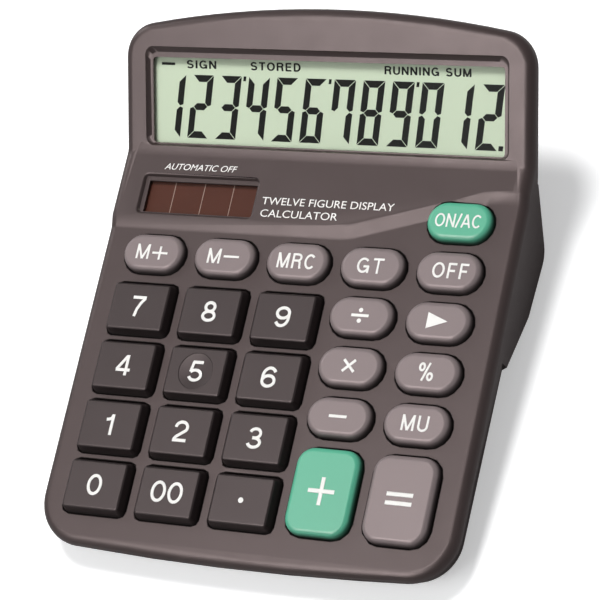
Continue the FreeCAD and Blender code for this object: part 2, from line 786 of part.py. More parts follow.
def belly_side_edges(solid):
    """The edges of the belly's underside, along its left and right."""
    return [
        e
        for e in solid.Edges
        if all(abs(abs(p.x) - BELLY_HALF_WIDTH) < 1e-3 and p.z < tray_floor_z(0.0) for p in e.discretize(3))
    ]


def head_back(inset):
    """The back of the head: its outline drawn in towards a smaller rear face."""
    low = HEAD_BACK_LOW + inset
    rear = head_outline(HEAD_BACK_INSET + inset, low)
    rear.translate(vec(0, 0, -HEAD_DEPTH + inset))
    front = head_outline(TRAY_TOP_INSET + inset, low)
    front.translate(vec(0, 0, -WALL))
    return on_head(Part.makeLoft([rear, front], True, True))


def lower_form(inset):
    """The space inside the lower case, inset by a wall and drawn up past the seam."""
    return fused([tray(inset), belly(inset), head_back(inset)])


def lower_outside():
    """The lower case as one solid, with its bottom edges broken."""
    flat = tray(0.0)
    flat = flat.makeChamfer(TRAY_EDGE_R, tray_bottom_edges(flat))
    deep = belly(0.0)
    deep = deep.makeChamfer(BELLY_EDGE_R, belly_side_edges(deep))
    return fused([flat, deep, head_back(0.0)]).common(below_seam(SEAM_GAP))


def below_seam(drop):
    """Everything under the seam lowered by drop."""
    return Part.makeBox(2 * FAR, 2 * FAR, 2 * FAR, vec(-FAR, -FAR, -FAR)).cut(above_seam(drop))


def table_z(y):
    """The height of the table under the standing case, in the tipped deck frame."""
    return belly_floor_z(y) - FOOT_PROUD / math.cos(math.radians(DECK_TILT))


def foot(x, y, radius, reach):
    """A disc that stands on the table, square to it."""
    disc = prism(centred(radius, radius, radius, x), 0.0, reach, FOOT_FLATS)
    return level_with_table(disc, y, table_z(y))


def feet(grow=0.0):
    places = [(side * FOOT_X, y) for side in (-1, 1) for y in (FOOT_FRONT_Y, FOOT_BACK_Y)]
    return [foot(x, y, FOOT_R + grow, FOOT_HEIGHT + grow) for x, y in places]


def boss_room():
    """The room in the lower case for the upper case's screw bosses."""
    return [post(CASE_BOSS_R + TUBE_GAP, x, y, boss_foot(y) - SEAM_GAP, FAR) for x, y in CASE_SCREWS]


def lip():
    """The tongue on the lower wall that centres the upper case."""
    ring = top_form(WALL + LIP_GAP).cut(walls(WALL + LIP_GAP + LIP_THICK))
    band = above_seam(SEAM_GAP + LIP_HEIGHT).cut(above_seam(-LIP_HEIGHT))
    return ring.common(band)


def screw_tube(x, y):
    """The tube that a case screw comes up through, and the stepped hole inside it."""
    top = boss_foot(y) - SEAM_GAP
    tube = post(TUBE_R, x, y, -FAR, top)
    shank = post(SCREW_R + SCREW_GAP, x, y, -FAR, top + WALL)
    head = post(SCREW_HEAD_R + SCREW_GAP, x, y, -FAR, top - CASE_SEAT, SEEN_FLATS)
    return tube, shank.fuse(head)


def bay_span():
    """The front and back of the battery bay's inside."""
    reach = CELL_R + CELL_CLEAR
    return CELL_Y - reach, CELL_Y + reach


def bay():
    """The walls and roof round the battery, open at the bottom for the door."""
    front, back = bay_span()
    roof = CELL_Z + CELL_R + CELL_CLEAR
    wall = BAY_WALL
    outer = box(BAY_LEFT - wall, BAY_RIGHT + wall, front - wall, back + wall, -FAR, roof + wall)
    inner = box(BAY_LEFT, BAY_RIGHT, front, back, -FAR, roof)
    return outer.cut(inner)


def door_box(grow):
    """The footprint of the battery door, from far below up into the case."""
    _, back = bay_span()
    left = BAY_LEFT - BAY_WALL / 2
    right = BAY_RIGHT + BAY_WALL / 2
    return box(left - grow, right + grow, DOOR_FRONT_Y - grow, back + BAY_WALL / 2 + grow, -FAR, 0.0)


def door_path():
    """The room that the door's tongues need over the skin while they slide out."""
    front, back = bay_span()
    room = DOOR_TONGUE_THICK + 2 * DOOR_GAP
    band = belly(WALL - DOOR_GAP).cut(belly(WALL + room))
    return band.common(box(BAY_LEFT, BAY_RIGHT, DOOR_FRONT_Y, back, -FAR, 0.0))


def display_room():
    """The room in the lower case for the display stack under the head face."""
    left, low, right, high = holder_box()
    deep = stack_levels()["holder"][0] - WELL_GAP
    outline = rectangle(left - WELL_GAP, low - WELL_GAP, right + WELL_GAP, high + WELL_GAP)
    return on_head(prism(outline, deep, FAR))


def lower_case():
    shell = lower_outside().cut(lower_form(WALL))
    inside = lower_form(WALL / 2)
    added = [lip(), bay().common(inside)]
    added += [tube.common(inside) for tube, _ in map(lambda at: screw_tube(*at), CASE_SCREWS)]
    under_board = BOARD_TOP_Z - BOARD_THICK
    added += [post(BOARD_POST_R, x, y, -FAR, under_board).common(inside) for x, y in BOARD_POSTS]
    shell = fused([shell] + added)
    tools = [hole for _, hole in map(lambda at: screw_tube(*at), CASE_SCREWS)]
    tools += boss_room()
    tools += feet(FOOT_GAP)
    tools.append(display_room())
    tools.append(door_box(DOOR_GAP).cut(belly(WALL)))
    tools.append(door_path())
    return shell.cut(tools)


def battery_door():
    """A strip of the belly's skin with two tongues at its front edge and finger grooves."""
    skin = belly(0.0).cut(belly(DOOR_THICK)).common(door_box(0.0))
    root = belly(DOOR_THICK / 2).cut(belly(WALL + DOOR_GAP + DOOR_TONGUE_THICK))
    tongue = belly(WALL + DOOR_GAP).cut(belly(WALL + DOOR_GAP + DOOR_TONGUE_THICK))
    parts = [skin]
    middle = (BAY_LEFT + BAY_RIGHT) / 2
    for side in (-1, 1):
        left = middle + side * DOOR_TONGUE_SPREAD - DOOR_TONGUE_WIDTH / 2
        right = left + DOOR_TONGUE_WIDTH
        parts.append(root.common(box(left, right, DOOR_FRONT_Y, DOOR_FRONT_Y + DOOR_ROOT, -FAR, 0.0)))
        reach = box(left, right, DOOR_FRONT_Y - DOOR_TONGUE_REACH, DOOR_FRONT_Y + DOOR_ROOT, -FAR, 0.0)
        parts.append(tongue.common(reach))
    door = fused(parts)
    grooves = []
    for i in range(DOOR_GRIPS):
        y = DOOR_FRONT_Y + DOOR_GRIP_START + i * DOOR_GRIP_PITCH
        groove = box(
            middle - DOOR_TONGUE_WIDTH,
            middle + DOOR_TONGUE_WIDTH,
            y,
            y + DOOR_GRIP_PITCH / 2,
            belly_floor_z(y) - DOOR_GRIP_DEPTH,
            belly_floor_z(y) + DOOR_GRIP_DEPTH,
        )
        grooves.append(groove)
    return door.cut(grooves)


# Display


def display_layer(level, half_width, low, high):
    bottom, top = stack_levels()[level]
    return on_head(box(-half_width, half_width, low, high, bottom, top))


def display_window():
    low, high = OPENING_LOW - WINDOW_MARGIN, OPENING_HIGH + WINDOW_MARGIN
    return display_layer("window", WINDOW_HALF_WIDTH, low, high)


def lcd_front_glass():
    low, high = OPENING_LOW - WINDOW_MARGIN, OPENING_HIGH + WINDOW_MARGIN
    return display_layer("front", GLASS_HALF_WIDTH, low, high)


def lcd_rear_glass():
    _, low, _, high = holder_box()
    return display_layer("rear", GLASS_HALF_WIDTH, low, high)


def lcd_holder():
    """A frame that presses the glasses up against the window."""
    left, low, right, high = holder_box()
    bottom, top = stack_levels()["holder"]
    border = HOLDER_BORDER
    hole = box(left + border, right - border, low + border, high - border, -FAR, FAR)
    return on_head(box(left, right, low, high, bottom, top).cut(hole))


def lcd_ribbon():
    """The flat cable from the lower ledge of the rear glass down to the board's tab."""
    _, low, _, _ = holder_box()
    glass_top = stack_levels()["rear"][1]
    start = head_point(low + GLASS_LEDGE - RIBBON_CLEAR, glass_top)
    level = BOARD_TOP_Z
    drop = (start[1] - level) / HEAD_SIN
    corner = (start[0] - drop * HEAD_COS, level)
    end = (RIBBON_END_Y, level)
    thick = RIBBON_THICK
    tilt_half = math.tan(math.radians(HEAD_TILT / 2))
    upper = (start[0] - thick * HEAD_SIN, start[1] + thick * HEAD_COS)
    profile = [
        (start[0], start[1], 0.0),
        (corner[0], corner[1], RIBBON_BEND_R + thick),
        (end[0], end[1], 0.0),
        (end[0], end[1] + thick, 0.0),
        (corner[0] - thick * tilt_half, corner[1] + thick, RIBBON_BEND_R),
        (upper[0], upper[1], 0.0),
    ]
    return across(profile, RIBBON_LEFT, RIBBON_RIGHT, SEEN_FLATS)


# Solar cell


def solar_window():
    top = solar_seat()
    return prism(solar_opening(SOLAR_LEDGE_WIDTH - FIT_GAP), top - SOLAR_WINDOW_THICK, top)


def solar_cell():
    top = solar_seat() - SOLAR_WINDOW_THICK
    return prism(solar_opening(SOLAR_LEDGE_WIDTH - FIT_GAP), top - SOLAR_CELL_THICK, top)


def solar_pad():
    """The foam block between the cell and the battery bay's roof."""
    top = solar_seat() - SOLAR_WINDOW_THICK - SOLAR_CELL_THICK
    roof = CELL_Z + CELL_R + CELL_CLEAR + BAY_WALL
    x = (SOLAR_LEFT + SOLAR_RIGHT) / 2
    y = (SOLAR_LOW + SOLAR_HIGH) / 2
    return prism(centred(SOLAR_PAD_LENGTH / 2, SOLAR_PAD_WIDTH / 2, 0.0, x, y), roof, top)


def solar_leads():
    """The flat twin lead from under the cell, over the bay and down to the board."""
    top = solar_seat() - SOLAR_WINDOW_THICK - SOLAR_CELL_THICK
    thick = SOLAR_LEAD_THICK
    low = BOARD_TOP_Z
    profile = [
        (SOLAR_LEAD_START_Y, top, 0.0),
        (SOLAR_LEAD_START_Y, top - thick, 0.0),
        (SOLAR_LEAD_TURN_Y + thick, top - thick, LEAD_BEND_R),
        (SOLAR_LEAD_TURN_Y + thick, low, LEAD_BEND_R + thick),
        (SOLAR_LEAD_END_Y, low, 0.0),
        (SOLAR_LEAD_END_Y, low + thick, 0.0),
        (SOLAR_LEAD_TURN_Y, low + thick, LEAD_BEND_R),
        (SOLAR_LEAD_TURN_Y, top, LEAD_BEND_R + thick),
    ]
    return across(profile, SOLAR_LEAD_X, SOLAR_LEAD_X + SOLAR_LEAD_WIDTH, POST_FLATS)


# Key mat and board


def board_holes(grow):
    """Where screws and bosses pass through the board; grow widens them for the mat above it."""
    holes = [(BOARD_HOLE_R + grow, x, y) for x, y in BOARD_BOSSES]
    holes += [(CASE_BOSS_R + BOARD_BOSS_CLEAR, x, y) for x, y in CASE_SCREWS if y < HEAD_START_Y]
    return holes


def main_board():
    main = box(
        -BOARD_HALF_WIDTH,
        BOARD_HALF_WIDTH,
        BOARD_FRONT_Y,
        BOARD_BACK_Y,
        BOARD_TOP_Z - BOARD_THICK,
        BOARD_TOP_Z,
    )
    tab = box(
        BOARD_TAB_LEFT,
        BOARD_HALF_WIDTH,
        BOARD_BACK_Y - WALL,
        BOARD_TAB_BACK_Y,
        BOARD_TOP_Z - BOARD_THICK,
        BOARD_TOP_Z,
    )
    corner = [e for e in main.Edges if abs(e.Length - BOARD_THICK) < 1e-6]
    plate = fused([main.makeChamfer(BOARD_CORNER_R, corner), tab])
    holes = [post(r, x, y, -FAR, FAR) for r, x, y in board_holes(0.0)]
    return plate.cut(holes)


def key_mat():
    """The rubber sheet on the board, with a hollow-topped dome under each key."""
    low = BOARD_TOP_Z
    top = low + MAT_THICK
    sheet = box(
        -BOARD_HALF_WIDTH + MAT_MARGIN,
        BOARD_HALF_WIDTH - MAT_MARGIN,
        BOARD_FRONT_Y + MAT_MARGIN,
        BOARD_BACK_Y,
        low,
        top,
    )
    tab = box(
        BOARD_TAB_LEFT + COLUMN_PITCH,
        BOARD_HALF_WIDTH - MAT_MARGIN,
        BOARD_BACK_Y - WALL,
        RIBBON_END_Y - MAT_MARGIN,
        low,
        top,
    )
    domes = []
    for _, x, y in KEYS.values():
        foot_ring = centred(DOME_FOOT_R, DOME_FOOT_R, 0.0, x, y)
        dome = prism(foot_ring, top - MAT_THICK / 2, top + dome_height())
        inset = DOME_FOOT_R - DOME_TOP_R
        dome = dome.makeChamfer(dome_height(), inset, ring_edges(dome, top + dome_height()))
        domes.append(dome)
    boss_clear = BOARD_BOSS_R - BOARD_HOLE_R + BOARD_BOSS_CLEAR
    holes = [post(r, x, y, -FAR, FAR) for r, x, y in board_holes(boss_clear)]
    notch = box(
        SOLAR_LEAD_X - MAT_THICK,
        SOLAR_LEAD_X + SOLAR_LEAD_WIDTH + MAT_THICK,
        SOLAR_LEAD_END_Y - MAT_THICK,
        FAR,
        low,
        top,
    )
    return fused([sheet, tab] + domes).cut(holes + [notch])


def chip_cover():
    x, y = CHIP_AT
    under = BOARD_TOP_Z - BOARD_THICK
    return post(CHIP_R, x, y, under - CHIP_HEIGHT, under, SEEN_FLATS)


def capacitor():
    left = BOARD_HALF_WIDTH - CAPACITOR_SIDE
    under = BOARD_TOP_Z - BOARD_THICK
    return lying_post(CAPACITOR_R, left, left + CAPACITOR_LENGTH, CAPACITOR_Y, under - CAPACITOR_R)


def resistors():
    width, length, height = RESISTOR_SIZE
    under = BOARD_TOP_Z - BOARD_THICK
    bodies = [
        prism(centred(width / 2, length / 2, 0.0, x, RESISTOR_Y), under - height, under) for x in RESISTOR_XS
    ]
    return Part.makeCompound(bodies)


# Fasteners and feet


def screw(x, y, seat, length):
    """A pan-head screw that comes from below, its head under the seat."""
    head = post(SCREW_HEAD_R, x, y, seat - SCREW_HEAD_H, seat, SEEN_FLATS)
    return fused([head, post(SCREW_R, x, y, seat - SCREW_HEAD_H / 2, seat + length)])


def board_screws():
    under = BOARD_TOP_Z - BOARD_THICK
    return Part.makeCompound([screw(x, y, under, BOARD_SCREW_LENGTH) for x, y in BOARD_BOSSES])


def case_screws():
    screws = [screw(x, y, boss_foot(y) - SEAM_GAP - CASE_SEAT, CASE_SCREW_LENGTH) for x, y in CASE_SCREWS]
    return Part.makeCompound(screws)


def rubber_feet():
    return Part.makeCompound(feet())


# Battery


def battery_cell():
    nub_right = BAY_RIGHT - CONTACT_THICK - FIT_GAP
    right = nub_right - CELL_NUB_LENGTH
    left = nub_right - CELL_LENGTH
    body = lying_post(CELL_R, left, right, CELL_Y, CELL_Z)
    nub = lying_post(CELL_NUB_R, right - CELL_NUB_LENGTH, nub_right, CELL_Y, CELL_Z)
    return fused([body, nub])


def contact_plate(left):
    half = CONTACT_SIZE / 2
    return box(left, left + CONTACT_THICK, CELL_Y - half, CELL_Y + half, CELL_Z - half, CELL_Z + half)


def battery_contact():
    return contact_plate(BAY_RIGHT - CONTACT_THICK)


def battery_spring():
    """A leaf spring: a plate on the bay's left wall with a leaf folded out against the cell."""
    left = BAY_LEFT
    cell_left = BAY_RIGHT - CONTACT_THICK - FIT_GAP - CELL_LENGTH - FIT_GAP
    half = CONTACT_SIZE / 2
    low, high = CELL_Z - half, CELL_Z + half
    thick = CONTACT_THICK
    profile = [
        (left, high, 0.0),
        (left, low, thick),
        (left + 2 * SPRING_FOLD_R, low, thick),
        (cell_left, CELL_Z, 2 * SPRING_FOLD_R),
        (cell_left - SPRING_FOLD_R, high - SPRING_FOLD_R, 0.0),
        (cell_left - SPRING_FOLD_R - thick, high - SPRING_FOLD_R, 0.0),
        (cell_left - thick, CELL_Z, 2 * SPRING_FOLD_R),
        (left + 2 * SPRING_FOLD_R, low + 2 * thick, thick),
        (left + thick, low + 2 * thick, 0.0),
        (left + thick, high, 0.0),
    ]
    face = Part.Face(loop(profile, lambda x, z: vec(x, CELL_Y - SPRING_WIDTH / 2, z)))
    return face.extrude(vec(0, SPRING_WIDTH, 0))


# Placing and export


def build_parts():
    parts = {
        "upper_case": upper_case(),
        "lower_case": lower_case(),
        "battery_door": battery_door(),
        "display_window": display_window(),
        "lcd_front_glass": lcd_front_glass(),
        "lcd_rear_glass": lcd_rear_glass(),
        "lcd_holder": lcd_holder(),
        "lcd_ribbon": lcd_ribbon(),
        "solar_window": solar_window(),
        "solar_cell": solar_cell(),
        "solar_pad": solar_pad(),
        "solar_leads": solar_leads(),
        "key_mat": key_mat(),
        "main_board": main_board(),
        "chip_cover": chip_cover(),
        "capacitor": capacitor(),
        "resistors": resistors(),
        "board_screws": board_screws(),
        "case_screws": case_screws(),
        "rubber_feet": rubber_feet(),
        "battery_cell": battery_cell(),
        "battery_contact": battery_contact(),
        "battery_spring": battery_spring(),
    }
    for name in KEYS:
        parts[name] = key(name)
    return parts


def on_table(shape):
    """A piece from the deck frame, tipped onto the table."""
    placed = shape.copy()
    placed.rotate(vec(0, 0), X_AXIS, DECK_TILT)
    placed.translate(vec(0, -table_centre_y(), -table_z(0.0) * math.cos(math.radians(DECK_TILT))))
    return placed


def table_centre_y():
    """The middle of the case's length once it is tipped onto the table."""
    cos, sin = math.cos(math.radians(DECK_TILT)), math.sin(math.radians(DECK_TILT))
    front = (FRONT_EDGE_Y + RIM_R) * cos + RIM_R * sin - RIM_R
    back_y, back_z = head_point(HEAD_LENGTH - HEAD_BACK_INSET, -HEAD_DEPTH)
    return (front + back_y * cos - back_z * sin) / 2


def main():
    os.makedirs("parts", exist_ok=True)
    for name, shape in build_parts().items():
        on_table(shape).exportStep(os.path.join("parts", name + ".step"))
        print(name, round(shape.Volume, 1))


main()
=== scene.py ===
import logging
import math
from collections.abc import Callable, Iterable, Sequence
from dataclasses import dataclass
from enum import Enum
from functools import partial

import bmesh
import bpy
from mathutils import Matrix, Vector


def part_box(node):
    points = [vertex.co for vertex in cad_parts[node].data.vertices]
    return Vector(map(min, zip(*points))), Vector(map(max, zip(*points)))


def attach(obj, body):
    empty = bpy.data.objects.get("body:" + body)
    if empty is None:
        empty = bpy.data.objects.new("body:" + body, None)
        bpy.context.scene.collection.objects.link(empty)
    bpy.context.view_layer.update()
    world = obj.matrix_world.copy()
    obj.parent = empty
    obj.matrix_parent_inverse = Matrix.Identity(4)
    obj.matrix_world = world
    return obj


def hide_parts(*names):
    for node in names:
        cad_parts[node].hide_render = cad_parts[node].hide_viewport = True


LOG = logging.getLogger("calculator")
MM = 0.001

Colour = tuple[float, float, float, float]
Point = tuple[float, float]
Stroke = list[Point]

WHITE = (1.0, 1.0, 1.0, 1.0)
DECK_TILT = math.radians(8.0)

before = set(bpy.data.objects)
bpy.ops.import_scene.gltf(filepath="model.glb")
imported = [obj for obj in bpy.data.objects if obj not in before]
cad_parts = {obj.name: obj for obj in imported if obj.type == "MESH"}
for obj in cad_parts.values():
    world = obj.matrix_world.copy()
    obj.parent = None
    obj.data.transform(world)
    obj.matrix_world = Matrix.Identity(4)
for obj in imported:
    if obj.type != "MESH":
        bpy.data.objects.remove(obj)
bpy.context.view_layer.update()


def linear(red: float, green: float, blue: float) -> Colour:
    """A colour given as seen on a screen, as the shader wants it.

    Args:
        red: Red from 0 to 255.
        green: Green from 0 to 255.
        blue: Blue from 0 to 255.

    Returns:
        The colour in linear light, with an alpha of 1.
    """
    parts = []
    for level in (red, green, blue):
        share = level / 255
        parts.append(share / 12.92 if share <= 0.04045 else ((share + 0.055) / 1.055) ** 2.4)
    return (*parts, 1.0)


def shade(colour: Colour, share: float) -> Colour:
    """A colour made darker or lighter, and still opaque."""
    return (*(min(level * share, 1.0) for level in colour[:3]), 1.0)


# Shader tools


class Amount:
    """A number that runs through a material, ready for plain arithmetic."""

    def __init__(self, bench: "Bench", socket: bpy.types.NodeSocket) -> None:
        """Wraps one output socket of a bench's node."""
        self.bench = bench
        self.socket = socket

    def _math(self, operation: str, *values: "float | Amount") -> "Amount":
        """Adds one Math node.

        Args:
            operation: The node's operation.
            values: Its inputs, in order.

        Returns:
            The node's result.
        """
        return self.bench.amount("ShaderNodeMath", 0, {"operation": operation}, dict(enumerate(values)))

    def __add__(self, other: "float | Amount") -> "Amount":
        """self + other."""
        return self._math("ADD", self, other)

    def __radd__(self, other: float) -> "Amount":
        """other + self."""
        return self._math("ADD", other, self)

    def __sub__(self, other: "float | Amount") -> "Amount":
        """self - other."""
        return self._math("SUBTRACT", self, other)

    def __rsub__(self, other: float) -> "Amount":
        """other - self."""
        return self._math("SUBTRACT", other, self)

    def __mul__(self, other: "float | Amount") -> "Amount":
        """self * other."""
        return self._math("MULTIPLY", self, other)

    def __rmul__(self, other: float) -> "Amount":
        """other * self."""
        return self._math("MULTIPLY", other, self)

    def __truediv__(self, other: "float | Amount") -> "Amount":
        """self / other."""
        return self._math("DIVIDE", self, other)

    def __gt__(self, limit: float) -> "Amount":
        """1 where self is over the limit, and 0 elsewhere."""
        return self._math("GREATER_THAN", self, limit)

    def __lt__(self, limit: float) -> "Amount":
        """1 where self is under the limit, and 0 elsewhere."""
        return self._math("LESS_THAN", self, limit)

    def size(self) -> "Amount":
        """The number without its sign."""
        return self._math("ABSOLUTE", self)

    def ramp(self, low: float, high: float) -> "Amount":
        """A smooth step from 0 to 1.

        Args:
            low: Where it starts.
            high: Where it ends.

        Returns:
            The step.
        """
        return self.bench.amount(
            "ShaderNodeMapRange",
            "Result",
            {"interpolation_type": "SMOOTHSTEP"},
            {"Value": self, "From Min": low, "From Max": high},
        )


class Bench:
    """The nodes of one material, or of the world."""

    def __init__(self, name: str, world: bool = False) -> None:
        """Starts an empty material or world with its output node.

        Args:
            name: Its name.
            world: Whether it is a world and not a material.
        """
        self.owner = (bpy.data.worlds if world else bpy.data.materials).new(name)
        self.owner.use_nodes = True
        self.owner.node_tree.nodes.clear()
        self.output = self.node("ShaderNodeOutputWorld" if world else "ShaderNodeOutputMaterial")

    def node(
        self,
        kind: str,
        settings: dict[str, object] | None = None,
        inputs: dict[int | str, object] | None = None,
    ) -> bpy.types.Node:
        """Adds a node, sets it up and fills its sockets.

        Args:
            kind: The node's type.
            settings: The node's own settings, which are set first.
            inputs: Values, amounts or sockets, by socket name or number.

        Returns:
            The new node.
        """
        node = self.owner.node_tree.nodes.new(kind)
        for name, value in (settings or {}).items():
            setattr(node, name, value)
        for name, value in (inputs or {}).items():
            value = value.socket if isinstance(value, Amount) else value
            if isinstance(value, bpy.types.NodeSocket):
                self.owner.node_tree.links.new(value, node.inputs[name])
            else:
                node.inputs[name].default_value = value
        return node

    def amount(
        self,
        kind: str,
        output: int | str,
        settings: dict[str, object] | None = None,
        inputs: dict[int | str, object] | None = None,
    ) -> Amount:
        """The number that one output of a new node gives."""
        return Amount(self, self.node(kind, settings, inputs).outputs[output])

    def place(self, origin: Vector | None = None, turn: Sequence[float] = (0.0, 0.0, 0.0)) -> bpy.types.NodeSocket:
        """Where a point lies on the object, from an origin and along turned axes.

        Args:
            origin: Where it is measured from; the object's own origin if there is none.
            turn: How far the axes are turned about X, Y and Z, in radians.

        Returns:
            The place in metres.
        """
        here = self.node("ShaderNodeTexCoord").outputs["Object"]
        inputs = {"Vector": here, "Location": origin or Vector(), "Rotation": turn}
        return self.node("ShaderNodeMapping", {"vector_type": "TEXTURE"}, inputs).outputs["Vector"]

    def axes(self, vector: bpy.types.NodeSocket) -> tuple[Amount, Amount, Amount]:
        """The three numbers of a vector."""
        node = self.node("ShaderNodeSeparateXYZ", inputs={"Vector": vector})
        return tuple(Amount(self, socket) for socket in node.outputs)

    def noise(self, vector: bpy.types.NodeSocket, scale: float, detail: float = 2.0, rough: float = 0.5) -> Amount:
        """Cloudy noise from 0 to 1."""
        inputs = {"Vector": vector, "Scale": scale, "Detail": detail, "Roughness": rough}
        return self.amount("ShaderNodeTexNoise", "Fac", None, inputs)

    def mix(self, share: Amount, first: object, second: object) -> bpy.types.NodeSocket:
        """A colour that goes from first to second with share."""
        inputs = {"Factor": share, 6: first, 7: second}
        return self.node("ShaderNodeMix", {"data_type": "RGBA"}, inputs).outputs[2]

    def bump(self, height: Amount, depth: float) -> bpy.types.NodeSocket:
        """A normal that follows a height, in metres of depth."""
        return self.node("ShaderNodeBump", inputs={"Height": height, "Distance": depth}).outputs["Normal"]

    def surface(self, shader: bpy.types.Node) -> bpy.types.Material | bpy.types.World:
        """Joins a shader to the output and gives what the nodes belong to."""
        self.owner.node_tree.links.new(shader.outputs[0], self.output.inputs["Surface"])
        return self.owner

    def principled(self, **inputs: object) -> bpy.types.Node:
        """The main shader; underscores in names stand for blanks."""
        named = {name.replace("_", " "): value for name, value in inputs.items()}
        return self.node("ShaderNodeBsdfPrincipled", inputs=named)


# Finishes


@dataclass(frozen=True)
class MouldedPlastic:
    """Injection-moulded plastic with a fine spark-eroded grain."""

    name: str
    colour: Colour
    roughness: float = 0.45
    grain: float = 0.00035
    grain_depth: float = 0.000012
    cloud: float = 0.06
    specular: float = 0.6
    sheen_tone: Colour = (1.0, 0.82, 0.81, 1.0)
    # Painted shade round a key's foot: its frame on the deck, how high the shade reaches and how dark it gets.
    foot: Vector | None = None
    foot_tilt: float = 0.0
    painted_shade_height: float = 0.0
    painted_shade_share: float = 0.16

    def build(self) -> bpy.types.Material:
        """Makes the material; painted shade darkens a key's walls towards the gap round its foot.

        Returns:
            The material.
        """
        bench = Bench(self.name)
        here = bench.place()
        fine = bench.noise(here, 1 / self.grain, 3.0, 0.6)
        cloudy = bench.noise(here, 55.0, 3.0)
        wipe = bench.noise(here, 160.0, 4.0, 0.65)
        darker, lighter = (shade(self.colour, 1 + side * self.cloud) for side in (-2, 2))
        base = bench.mix(cloudy * 0.7 + fine * 0.3, darker, lighter)
        rough = self.roughness + (wipe - 0.5) * 0.16 + (fine - 0.5) * 0.1
        # Painted shade: the base colour darkens and roughens towards the deck, where the gap round the key lies in
        # shade.
        if self.foot is not None:
            _, _, up = bench.axes(bench.place(self.foot, (self.foot_tilt, 0.0, 0.0)))
            clear = up.ramp(0.0, self.painted_shade_height)
            base = bench.mix(clear, shade(self.colour, self.painted_shade_share), base)
            rough = rough + (1.0 - clear) * 0.35
        shader = bench.principled(
            Base_Color=base,
            Roughness=rough,
            Specular_IOR_Level=self.specular,
            Specular_Tint=self.sheen_tone,
            Normal=bench.bump(fine, self.grain_depth),
        )
        return bench.surface(shader)


@dataclass(frozen=True)
class PrintedInk:
    """Ink or paint of lettering, slightly uneven."""

    name: str
    colour: Colour
    roughness: float = 0.5
    specular: float = 0.5

    def build(self) -> bpy.types.Material:
        """Makes the material.

        Returns:
            The material.
        """
        bench = Bench(self.name)
        uneven = bench.noise(bench.place(), 900.0, 3.0)
        shader = bench.principled(
            Base_Color=bench.mix(uneven, self.colour, shade(self.colour, 0.9)),
            Roughness=self.roughness + (uneven - 0.5) * 0.15,
            Specular_IOR_Level=self.specular,
        )
        return bench.surface(shader)


@dataclass(frozen=True)
class LiquidCrystalGlass:
    """The pale green-grey reflecting glass of the display."""

    name: str
    colour: Colour
    # The tone of the painted shadow along the top edge.
    shade: Colour
    top: float
    painted_shadow_fall: float

    def build(self) -> bpy.types.Material:
        """Makes the material, with a painted shadow of the display frame that darkens it towards its top edge.

        Returns:
            The material.
        """
        bench = Bench(self.name)
        here = bench.place()
        _, _, up = bench.axes(here)
        cloudy = bench.noise(here, 30.0, 2.0)
        speck = bench.noise(here, 4000.0, 2.0)
        # Painted shadow towards the top edge, with random cloudy tone and specks.
        share = (up - self.top).ramp(-self.painted_shadow_fall, 0.0) * 0.8 + (cloudy - 0.5) * 0.1 + (speck - 0.5) * 0.06
        shader = bench.principled(
            Base_Color=bench.mix(share, self.colour, self.shade),
            Roughness=0.5 + (speck - 0.5) * 0.08,
            Specular_IOR_Level=0.1,
        )
        return bench.surface(shader)


@dataclass(frozen=True)
class ClearWindow:
    """A thin clear plastic window: see-through, with a weak gloss."""

    name: str
    tint: Colour
    gloss: float = 0.06

    def build(self) -> bpy.types.Material:
        """Makes the material.

        Returns:
            The material.
        """
        bench = Bench(self.name)
        fresnel = bench.amount("ShaderNodeFresnel", 0, None, {"IOR": 1.45})
        wipe = bench.noise(bench.place(), 120.0, 4.0, 0.6)
        clear = bench.node("ShaderNodeBsdfTransparent", inputs={"Color": self.tint})
        gloss = bench.principled(
            Base_Color=(0.02, 0.02, 0.02, 1.0), Roughness=self.gloss + wipe * 0.08, Specular_IOR_Level=1.0
        )
        mix = bench.node("ShaderNodeMixShader", inputs={0: fresnel * 0.1, 1: clear.outputs[0], 2: gloss.outputs[0]})
        return bench.surface(mix)


@dataclass(frozen=True)
class SolarFilm:
    """Brown amorphous cells with thin pale dividers, under their own gloss."""

    name: str
    colour: Colour
    divider: Colour
    lines: tuple[float, ...]
    line_width: float

    def build(self) -> bpy.types.Material:
        """Makes the material.

        Returns:
            The material.
        """
        bench = Bench(self.name)
        here = bench.place()
        across, _, _ = bench.axes(here)
        cloudy = bench.noise(here, 90.0, 3.0)
        line: float | Amount = 0.0
        for middle in self.lines:
            line = line + ((across - middle).size() < self.line_width / 2)
        film = bench.mix(cloudy, self.colour, shade(self.colour, 0.7))
        shader = bench.principled(
            Base_Color=bench.mix(line * 0.7, film, self.divider),
            Roughness=0.4 + (cloudy - 0.5) * 0.1,
            Specular_IOR_Level=0.15,
        )
        return bench.surface(shader)


@dataclass(frozen=True)
class CircuitBoard:
    """Green solder mask over faint copper tracks."""

    name: str
    colour: Colour
    track: Colour

    def build(self) -> bpy.types.Material:
        """Makes the material.

        Returns:
            The material.
        """
        bench = Bench(self.name)
        here = bench.place()
        bricks = {"Vector": here, "Scale": 90.0, "Mortar Size": 0.09, "Brick Width": 1.3, "Row Height": 0.35}
        tracks = bench.amount("ShaderNodeTexBrick", "Fac", {"offset": 0.35}, bricks)
        cloudy = bench.noise(here, 200.0, 3.0)
        shader = bench.principled(
            Base_Color=bench.mix(tracks * 0.55 + cloudy * 0.15, self.colour, self.track),
            Roughness=0.32 + cloudy * 0.12,
            Normal=bench.bump(tracks, 0.00002),
        )
        return bench.surface(shader)


